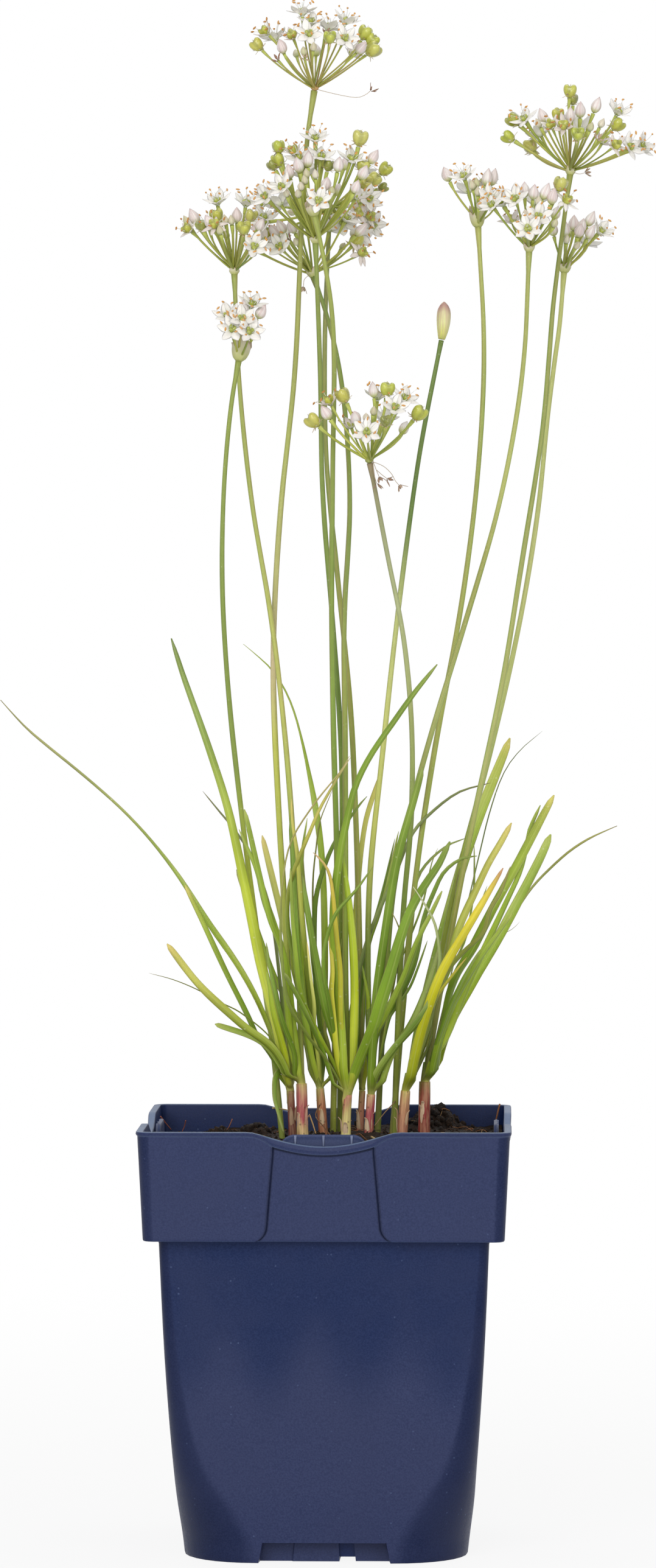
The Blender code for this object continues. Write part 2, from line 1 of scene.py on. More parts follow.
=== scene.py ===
"""Looks for the potted garlic chives: a clump in flower in a dark blue nursery pot.

The plant and its pot are worked out in millimetres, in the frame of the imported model, and turned into
metres when a piece is made; the floor and the lamps are placed in metres. The front of the pot looks
along -Y. The stems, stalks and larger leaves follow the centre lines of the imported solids, moved by the
small shifts in the tables; the small leaves and the blossoms have their own places.
"""
import math
import random

import bmesh
import bpy
import numpy as np
from mathutils import Matrix, Vector


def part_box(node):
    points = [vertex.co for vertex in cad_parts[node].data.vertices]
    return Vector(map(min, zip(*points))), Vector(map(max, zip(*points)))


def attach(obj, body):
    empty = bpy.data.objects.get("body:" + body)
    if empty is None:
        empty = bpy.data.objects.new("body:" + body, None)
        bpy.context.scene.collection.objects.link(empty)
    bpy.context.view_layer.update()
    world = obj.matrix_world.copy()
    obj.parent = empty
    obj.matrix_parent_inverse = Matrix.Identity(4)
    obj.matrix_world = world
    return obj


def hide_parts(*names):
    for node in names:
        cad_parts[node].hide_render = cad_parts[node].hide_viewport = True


bl_info = {
    "name": "Potted garlic chives",
    "version": (1, 0, 0),
    "blender": (4, 5, 0),
    "location": "View3D > Sidebar > Chives",
    "description": "Builds the detailed pot, soil, leaves and flower heads round the packed model",
    "category": "Add Mesh",
}

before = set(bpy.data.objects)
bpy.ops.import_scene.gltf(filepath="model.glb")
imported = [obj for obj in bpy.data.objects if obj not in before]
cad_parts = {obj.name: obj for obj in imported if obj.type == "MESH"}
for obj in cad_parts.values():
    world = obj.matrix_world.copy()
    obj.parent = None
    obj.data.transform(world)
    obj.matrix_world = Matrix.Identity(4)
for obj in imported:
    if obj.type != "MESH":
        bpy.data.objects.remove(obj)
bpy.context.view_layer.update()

MM = 0.001

# ---------------------------------------------------------------- the pot, in millimetres
POT_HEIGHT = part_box("pot")[1].z / MM
BODY_SECTIONS = [                # height, half width and corner radius of the body
    (0.0, 42.4, 22.0), (6.0, 43.1, 22.4), (17.0, 44.4, 17.5), (27.0, 45.1, 11.0),
    (44.0, 46.3, 6.6), (66.0, 47.6, 4.2), (96.5, 48.9, 2.9),
]
COLLAR_FOOT = 96.5
COLLAR_FOOT_HALF = 53.4
COLLAR_TOP_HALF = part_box("pot")[1].x / MM
COLLAR_RADII = (3.4, 3.8)
COLLAR_WALL = 1.8
CORNER_STEPS = 8

DIP_HALF = 21.6                  # the rim sinks in the middle of each side
DIP_DEPTH = 4.2
LIP_STAND_OUT = 0.36             # the band round the rim
LIP_AT_SIDES = 1.2
LIP_IN_DIP = 2.6
PANEL_TOP_HALF = 14.8            # the sunk panel under each dip
PANEL_SPREAD = 0.079
PANEL_TOP = 124.8
PANEL_FLARE = 3.6                # its lower corners turn outwards in a round
PANEL_FLARE_HEIGHT = 4.5
STEP_WIDTH = 0.45                # width of a step between two levels of the wall

NOTCH_BACK = 37.0                # the notch in the foot of each side
NOTCH_HALVES = (19.4, 18.2)
NOTCH_TOP = 6.1
SLOT_BACK = 26.0                 # the drain slot in it
SLOT_TOP = 5.2
PLATE_STANDS_OUT = 0.7           # the middle plate at the back of the notch
# Stations across the notch as shares of its half width: the plate's edges and the slot's edges.
PLATE_LEFT, SLOT_LEFT, SLOT_RIGHT = -0.50, 0.235, 0.475

LABEL_HALF = 13.0                # the plate of the label pocket behind each dip
LABEL_FACE = 51.0
LABEL_FOOT = 107.0
LABEL_TOP = 128.1
LABEL_CORNER = 4.5
LABEL_RIBS = (-8.3, 0.0, 8.3)
WEB_BACK = 53.0                  # how far out its side webs reach

# ---------------------------------------------------------------- the soil, in millimetres
SOIL_LEVEL = 122.4
SOIL_HALF = 52.6
SOIL_FOOT = 104.0
SOIL_STEPS = 110                 # of the grid across the soil
# Heaps on the soil: middle (x, y), height and spread.
HEAPS = [((31.8, 45.6), 5.6, 6.5), ((27, 38), 2.2, 5), ((6, 3), 1.6, 13), ((-38, -38), 3.4, 8),
         ((26, 4), 1.0, 6), ((-23.2, 25), 2.7, 4.6), ((-34.5, 25), 1.6, 3.2), ((43, -30), 1.6, 8),
         ((-47, 38), -2.4, 14), ((49, 42), -2.0, 8), ((-8, 46), -1.6, 9)]

# ---------------------------------------------------------------- the plant, in millimetres
SHOOTS = ("left", "pink", "tawny", "cream", "slim", "rose", "tan", "red")
FRONT = (0, -1, 0)
# Steps along the pieces: sheaths, leaves above their shoot, whole leaves, small leaves, stalks.
SHEATH_STEPS, UPPER_STEPS, LEAF_STEPS, SMALL_LEAF_STEPS, STALK_STEPS = 30, 26, 44, 36, 84


def rgb(red, green, blue):
    """A colour from its everyday 0 to 255 values, as the scene linear values that shaders take."""
    def linear(value):
        value /= 255
        return value / 12.92 if value <= 0.04045 else ((value + 0.055) / 1.055) ** 2.4
    return (linear(red), linear(green), linear(blue))


def stops(*pairs):
    """Colour stops: places with their colours, given from 0 to 255."""
    return [(place, rgb(*colour)) for place, colour in pairs]


# Colour of each sheath at heights above the soil.
SHEATH_TONES = {
    "left": stops((0, (92, 34, 34)), (7, (134, 58, 58)), (12, (160, 112, 84)), (17, (178, 172, 82))),
    "pink": stops((0, (176, 120, 76)), (2.5, (232, 206, 140)), (5.5, (224, 178, 130)), (7, (178, 72, 84)),
                  (13, (196, 112, 104)), (16, (208, 160, 118)), (19, (182, 172, 84))),
    "tawny": stops((0, (126, 66, 34)), (6, (172, 96, 66)), (11, (184, 126, 84)), (15, (196, 180, 104)),
                   (20, (196, 206, 116))),
    "cream": stops((0, (234, 224, 140)), (8, (226, 208, 132)), (11, (196, 142, 102)), (14, (190, 110, 96)),
                   (17, (216, 184, 118))),
    "slim": stops((0, (140, 78, 64)), (6, (182, 112, 88)), (12, (184, 134, 90)), (16, (176, 168, 82))),
    "rose": stops((0, (168, 84, 72)), (4, (150, 44, 62)), (9, (176, 74, 84)), (14, (206, 162, 118)),
                  (17, (204, 192, 106))),
    "tan": stops((0, (150, 74, 58)), (5, (186, 122, 96)), (12, (206, 152, 108)), (17, (204, 190, 98))),
    "red": stops((0, (126, 38, 30)), (7, (138, 46, 44)), (13, (160, 92, 70)), (17, (158, 138, 74))),
}

# Leaf colours: foot, lower part, middle, upper part and tip.
LEAF_TONES = {name: tuple(rgb(*colour) for colour in colours) for name, colours in {
    "fresh": ((230, 226, 168), (220, 226, 92), (200, 214, 60), (152, 174, 86), (132, 148, 90)),
    "lime": ((230, 226, 156), (212, 222, 76), (198, 212, 42), (180, 204, 54), (164, 188, 74)),
    "green": ((224, 224, 138), (180, 200, 58), (160, 188, 46), (156, 182, 62), (178, 190, 92)),
    "deep": ((206, 210, 120), (132, 158, 46), (116, 148, 40), (130, 160, 56), (146, 160, 80)),
    "grey": ((202, 206, 124), (152, 174, 62), (150, 170, 72), (150, 168, 86), (162, 162, 108)),
    "yellow": ((222, 218, 126), (190, 206, 56), (218, 218, 54), (226, 216, 72), (218, 190, 96)),
    "gold": ((196, 204, 100), (150, 172, 42), (222, 216, 40), (250, 230, 70), (208, 150, 112)),
    "olive": ((196, 198, 104), (146, 168, 52), (144, 158, 58), (146, 150, 68), (160, 148, 86)),
    "dull": ((196, 198, 104), (146, 168, 52), (150, 164, 66), (150, 154, 90), (164, 156, 112)),
    "grass": ((214, 216, 120), (160, 188, 56), (140, 176, 52), (134, 166, 58), (140, 158, 74)),
    "strand": ((200, 200, 120), (150, 168, 70), (146, 160, 76), (184, 170, 104), (204, 180, 126)),
    "hairy": ((206, 208, 120), (160, 184, 70), (118, 146, 60), (170, 182, 116), (230, 230, 196)),
    "mellow": ((204, 206, 112), (140, 166, 56), (150, 172, 62), (206, 198, 92), (220, 200, 146)),
    "amber": ((206, 206, 110), (176, 190, 58), (198, 196, 56), (212, 192, 62), (226, 178, 136)),
    "wan": ((230, 224, 146), (202, 212, 86), (214, 222, 96), (238, 236, 130), (250, 226, 140)),
    "dusk": ((166, 168, 94), (134, 152, 74), (122, 142, 72), (118, 134, 76), (122, 118, 82)),
    "tipped": ((220, 220, 134), (160, 186, 52), (144, 174, 44), (168, 190, 68), (222, 208, 112)),
    "bright": ((232, 226, 170), (196, 214, 70), (142, 180, 52), (134, 166, 60), (140, 150, 74)),
    "pale": ((230, 224, 146), (202, 212, 86), (202, 208, 80), (212, 210, 98), (230, 208, 120)),
}.items()}

# Width of a leaf along its length, as a share of the full width, for each form of tip.
LEAF_FORMS = {
    "blade": [(0, .8), (.1, .95), (.3, 1), (.6, .92), (.8, .74), (.92, .5), (.98, .3), (1, .08)],
    "blunt": [(0, .8), (.1, .95), (.3, 1), (.7, .96), (.88, .88), (.95, .78), (.985, .6), (1, .14)],
    "long": [(0, .8), (.1, .97), (.35, 1), (.55, .84), (.7, .68), (.9, .56), (.97, .42), (1, .12)],
    "whip": [(0, .8), (.15, 1), (.35, 1), (.48, .62), (.58, .4), (.9, .34), (1, .1)],
    "hair": [(0, .8), (.15, 1), (.6, 1), (.7, .52), (.77, .34), (.92, .24), (1, .06)],
}

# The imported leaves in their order: colours of the lower and the upper half, form, full width, and how far the
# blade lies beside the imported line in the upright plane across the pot, as (share of its length, millimetres
# to the right of its way up).
PACKED_LEAVES = [
    ("fresh", "fresh", "long", 3.4, [(.6, -.2), (.75, -.9), (.9, -.7), (1, 0)]),
    ("bright", "dull", "whip", 2.3, [(.3, -.3), (.4, .2), (.5, 1.1), (.62, .7), (.77, -.9), (.92, -2.2),
        (1, -1.3)]),
    ("deep", "tipped", "blunt", 1.8, [(.15, 0), (.3, -1.6), (.4, -1.1), (.55, -.6), (.8, -.1), (1, 0)]),
    ("deep", "pale", "blunt", 2.5, [(.1, 0), (.25, -.6), (.4, -1.4), (.55, -1.2), (.77, -.7), (1, 0)]),
    ("deep", "green", "blunt", 2.1, []),
    ("green", "green", "blunt", 2.2, []),
    ("green", "green", "blunt", 2.0, []),
    ("green", "green", "hair", 2.1, [(.62, .2), (.7, .4), (.77, 1.1), (.85, 2.4), (.92, 2.8), (1, 0)]),
    ("green", "wan", "blunt", 2.3, []),
    ("deep", "pale", "blade", 2.0, [(.8, 0), (.92, -1), (1, -1)]),
    ("green", "deep", "long", 3.0, [(.6, 0), (.7, -.8), (.85, -.8), (.92, -1.1), (1, -.6)]),
    ("lime", "lime", "blade", 2.8, []),
    ("deep", "deep", "blunt", 2.2, []),
    ("lime", "pale", "blunt", 1.8, []),
    ("deep", "deep", "blunt", 2.8, [(.3, 0), (.5, .9), (.8, 1), (1, .2)]),
    ("grey", "grey", "blade", 2.2, []),
    ("deep", "tipped", "blunt", 3.7, []),
    ("deep", "pale", "blunt", 2.4, [(.3, 0), (.5, -1.5), (.62, -2.4), (.77, -2.1), (.85, -1.9), (.92, -1.2),
        (1, -.6)]),
    ("gold", "gold", "blade", 3.3, []),
    ("deep", "tipped", "blunt", 3.1, [(.25, 0), (.45, -1.2), (.62, -1.9), (.8, -1.4), (1, -.4)]),
    ("green", "green", "blunt", 3.3, [(.1, -.3), (.3, -.9), (.6, -.7), (.9, .2), (1, 0)]),
    ("grey", "olive", "whip", 2.1, [(.1, -.5), (.3, -1.1), (.47, -1.5), (.55, -2.1), (.62, -3.3),
        (.7, -4.5), (.77, -4.7), (.85, -4.4), (.92, -3), (1, 0)]),
    ("deep", "green", "blade", 2.7, []),
]

# Small leaves, tips and strands beside them: shoot, width, colour and points up to the tip.
SMALL_LEAVES = [
    ("cream", 1.5, "strand", [(0, -2, 146), (-7, -9, 156), (-12, -14, 166), (-13.5, -18, 181),
        (-13.5, -20, 196), (-11, -21, 212), (-4, -22, 224), (4, -23, 234), (7, -24, 239)]),
    ("cream", 2.2, "green", [(2, -1, 145), (-3, -6, 155), (-8, -10, 167), (-9.5, -12, 179),
        (-10.5, -12, 192), (-11, -12, 205)]),
    ("cream", 3.6, "deep", [(4, -1, 144), (2, -4, 153), (-1, -7, 164), (-4, -9, 180), (-6, -10, 192),
        (-8, -10, 204)]),
    ("cream", 4.9, "grass", [(9.7, -3, 146), (14, -7, 156.5), (16.4, -10, 164.5), (18.8, -13, 172.3),
        (22, -16, 183.3), (24.6, -18, 191), (27.6, -20, 197), (31, -22, 202.4), (34, -23, 207),
        (37, -24, 213.5)]),
    ("cream", 3.3, "green", [(10.5, -1, 148), (16, -3, 157.5), (20.8, -4, 167), (23.5, -5, 173),
        (26, -6, 180), (28.6, -7, 186), (31.2, -7, 191), (34.5, -7, 198)]),
    ("rose", 1.4, "deep", [(18, 3, 157), (20.4, 4, 162), (24.5, 4, 168), (27, 4, 174), (30, 4, 182.5)]),
    ("cream", 1.4, "dusk", [(6, 2, 154), (11, 6, 180), (20, 9, 202), (25, 10, 214), (30, 11, 220),
        (39, 12, 227), (49, 13, 230)]),
    ("cream", 1.5, "deep", [(3, -2, 147), (1, -10, 162), (-1, -15, 175), (0, -18, 184), (3, -21, 192),
        (9, -24, 199), (14, -26, 206)]),
    ("cream", 1.1, "green", [(5, 3, 145), (4, 4, 154), (3, 5, 163), (3, 6, 173), (4, 6, 183)]),
    ("cream", 1.8, "amber", [(4, -6, 158), (4, -11, 173), (3, -14, 184), (2, -16, 196), (1, -17, 203),
        (-1, -18, 207), (-4, -18, 210)]),
    ("cream", 2.1, "yellow", [(3, -3, 146), (2, -7, 157), (1.2, -9, 167), (1.6, -10, 174), (1.2, -10, 180),
        (.4, -10, 186)]),
    ("rose", 2.6, "hairy", [(15, -3, 143), (20.6, -6, 151), (27, -10, 158.5), (31.9, -14, 166),
        (34, -17, 175), (33.6, -19, 183), (32, -20, 190), (28, -22, 197), (26, -23, 200)]),
    ("rose", 2.4, "deep", [(15, 2, 154), (21, 4, 164), (26, 6, 175), (29, 7, 189), (32, 8, 197),
        (35, 8, 203), (40, 8, 207), (45, 8, 208)]),
    ("rose", 1.5, "deep", [(14, 8, 156), (21, 16, 179), (25, 20, 194), (28, 22, 203), (35, 23, 210),
        (42, 24, 213)]),
    ("rose", 1.1, "green", [(15, 6, 156), (21, 12, 174), (28, 15, 192), (31, 16, 205), (33, 16, 210)]),
    ("rose", 0.9, "olive", [(19, 0, 165), (21, -2, 176), (22, -3, 184), (21, -3, 188), (19, -3, 192)]),
    ("slim", 1.6, "green", [(10, 12, 154), (11, 15, 172), (12, 17, 181), (15, 18, 190), (18, 19, 201),
        (21, 20, 215)]),
    ("slim", 1.5, "deep", [(9, 10, 154), (10, 11, 168), (11, 12, 179), (14, 13, 189), (17, 14, 200),
        (20, 14, 213)]),
    ("slim", 1.5, "lime", [(12, 6, 148), (12, 4, 158), (12, 3, 165), (11, 3, 171), (10.3, 3, 175)]),
    ("tan", 1.5, "green", [(31, 10, 156), (36, 18, 171), (41, 22, 181), (43, 24, 190), (44, 25, 199),
        (44, 26, 211)]),
    ("tan", 1.5, "lime", [(31, 12, 155), (36, 22, 173), (42, 27, 186), (46, 29, 193), (48, 30, 198)]),
    ("tan", 2.2, "olive", [(30, 6, 150), (33, 10, 161), (36, 13, 178), (38, 14, 187), (39, 15, 200),
        (41, 16, 207)]),
    ("tan", 2.0, "olive", [(30, -4, 156), (32, -8, 166), (36, -12, 174), (41, -15, 180), (47, -18, 186),
        (49, -20, 193), (52, -21, 198), (55, -22, 206)]),
    ("tan", 1.5, "yellow", [(30, 0, 160), (33, -2, 166), (38, -4, 173), (42, -5, 178)]),
    ("red", 2.6, "green", [(32, 2, 147), (36, -1, 154), (42, -4, 169), (48, -7, 182), (54, -9, 195),
        (58, -10, 204), (60, -11, 212), (61, -11, 217), (64, -12, 224)]),
    ("red", 1.6, "deep", [(33, -2, 152), (36, -8, 161), (39, -12, 168), (42, -15, 174), (46, -18, 181)]),
    ("red", 0.5, "olive", [(41, 22, 164), (49, 26, 177), (53, 28, 183), (56, 29, 185), (58, 30, 187)]),
    ("red", 0.6, "dusk", [(45, 36, 205), (49, 43, 221), (53, 46, 232), (58, 48, 239), (65, 50, 245)]),
    ("pink", 2.2, "green", [(-9, -3, 141), (-11, -6, 151), (-12, -10, 164), (-13, -13, 178),
        (-16, -16, 189), (-19, -18, 198), (-21, -19, 205), (-23, -20, 210), (-26, -22, 217)]),
    ("pink", 1.7, "deep", [(-10, -4, 142), (-10, -8, 149), (-13, -13, 158), (-15, -16, 166),
        (-17, -18, 176), (-18, -19, 183)]),
    ("left", 2.2, "lime", [(-12, -1, 140), (-13, -6, 149), (-16, -11, 161), (-17, -13, 168),
        (-18, -14, 174)]),
    ("left", 1.5, "deep", [(-11, 8, 141), (-13, 10, 151), (-15, 12, 161), (-17, 14, 172)]),
    ("left", 2.0, "deep", [(-13, 6, 139), (-14, 2, 142.5), (-15, -3, 143), (-16, -6, 141), (-16, -8, 136),
        (-15, -9, 132), (-13, -10, 125)]),
    ("left", 0.5, "olive", [(-16, -6, 152), (-25, -13, 161), (-32, -16, 165), (-39, -18, 169),
        (-46, -20, 172), (-53, -22, 174)]),
    ("left", 1.4, "dusk", [(-14, 12, 160), (-18, 20, 190), (-24, 22, 207), (-29, 24, 215), (-34, 25, 221),
        (-39, 26, 227)]),
    ("left", 1.3, "green", [(-13, 6, 160), (-15, 6, 180), (-20, 8, 194), (-23, 9, 209), (-25, 9, 216)]),
    ("tawny", 1.6, "green", [(-3, 2, 147), (-7, -2, 164), (-8, -5, 180), (-8, -7, 193), (-8, -8, 206),
        (-6, -9, 220)]),
    ("tawny", 2.3, "tipped", [(-3, 4, 147), (-6, 3, 163), (-8, 2, 180), (-8, 1, 195), (-8, 1, 206),
        (-7, 1, 214)]),
    ("tawny", 1.5, "mellow", [(-5, 2, 150), (-9, 2, 170), (-12, 0, 186), (-12, -4, 196), (-10.4, -10, 203),
        (-7.6, -15, 210), (-5, -18, 216), (-2, -20, 223), (1.4, -21, 229), (5, -22, 235),
        (7.3, -22, 238.5)]),
    ("tawny", 2.4, "bright", [(-5, 0, 147), (-7, -4, 160), (-8.5, -6, 172), (-9.5, -7, 184), (-10, -8, 198),
        (-10.5, -8, 209), (-11, -8, 217), (-10.4, -8, 224)]),
    ("tawny", 0.7, "olive", [(-2, 10, 154), (-4, 14, 172), (-5, 17, 190), (-5, 18, 201), (-4, 19, 211),
        (-3, 19, 218), (1, 20, 228)]),
    ("tawny", 1.3, "wan", [(-3, 0, 147), (-4, -3, 156), (-4, -8, 164), (-5, -11, 173), (-6, -12, 183)]),
    ("tawny", 2.0, "deep", [(-2, 6, 150), (-4, 9, 172), (-4.3, 10, 188), (-3.5, 10, 197), (-.6, 10, 206.5),
        (2.6, 10, 213.5), (5.5, 10, 218), (9, 10, 223), (11.6, 10, 226)]),
    ("tawny", 1.5, "green", [(-2, 8, 150), (-3.5, 9, 165), (-5, 10, 176), (-6, 11, 189), (-7.5, 12, 200),
        (-8, 12, 209)]),
    ("tawny", 1.6, "olive", [(1, 4, 142), (0, 1, 151), (-1, 0, 156), (0, -1, 161)]),
]

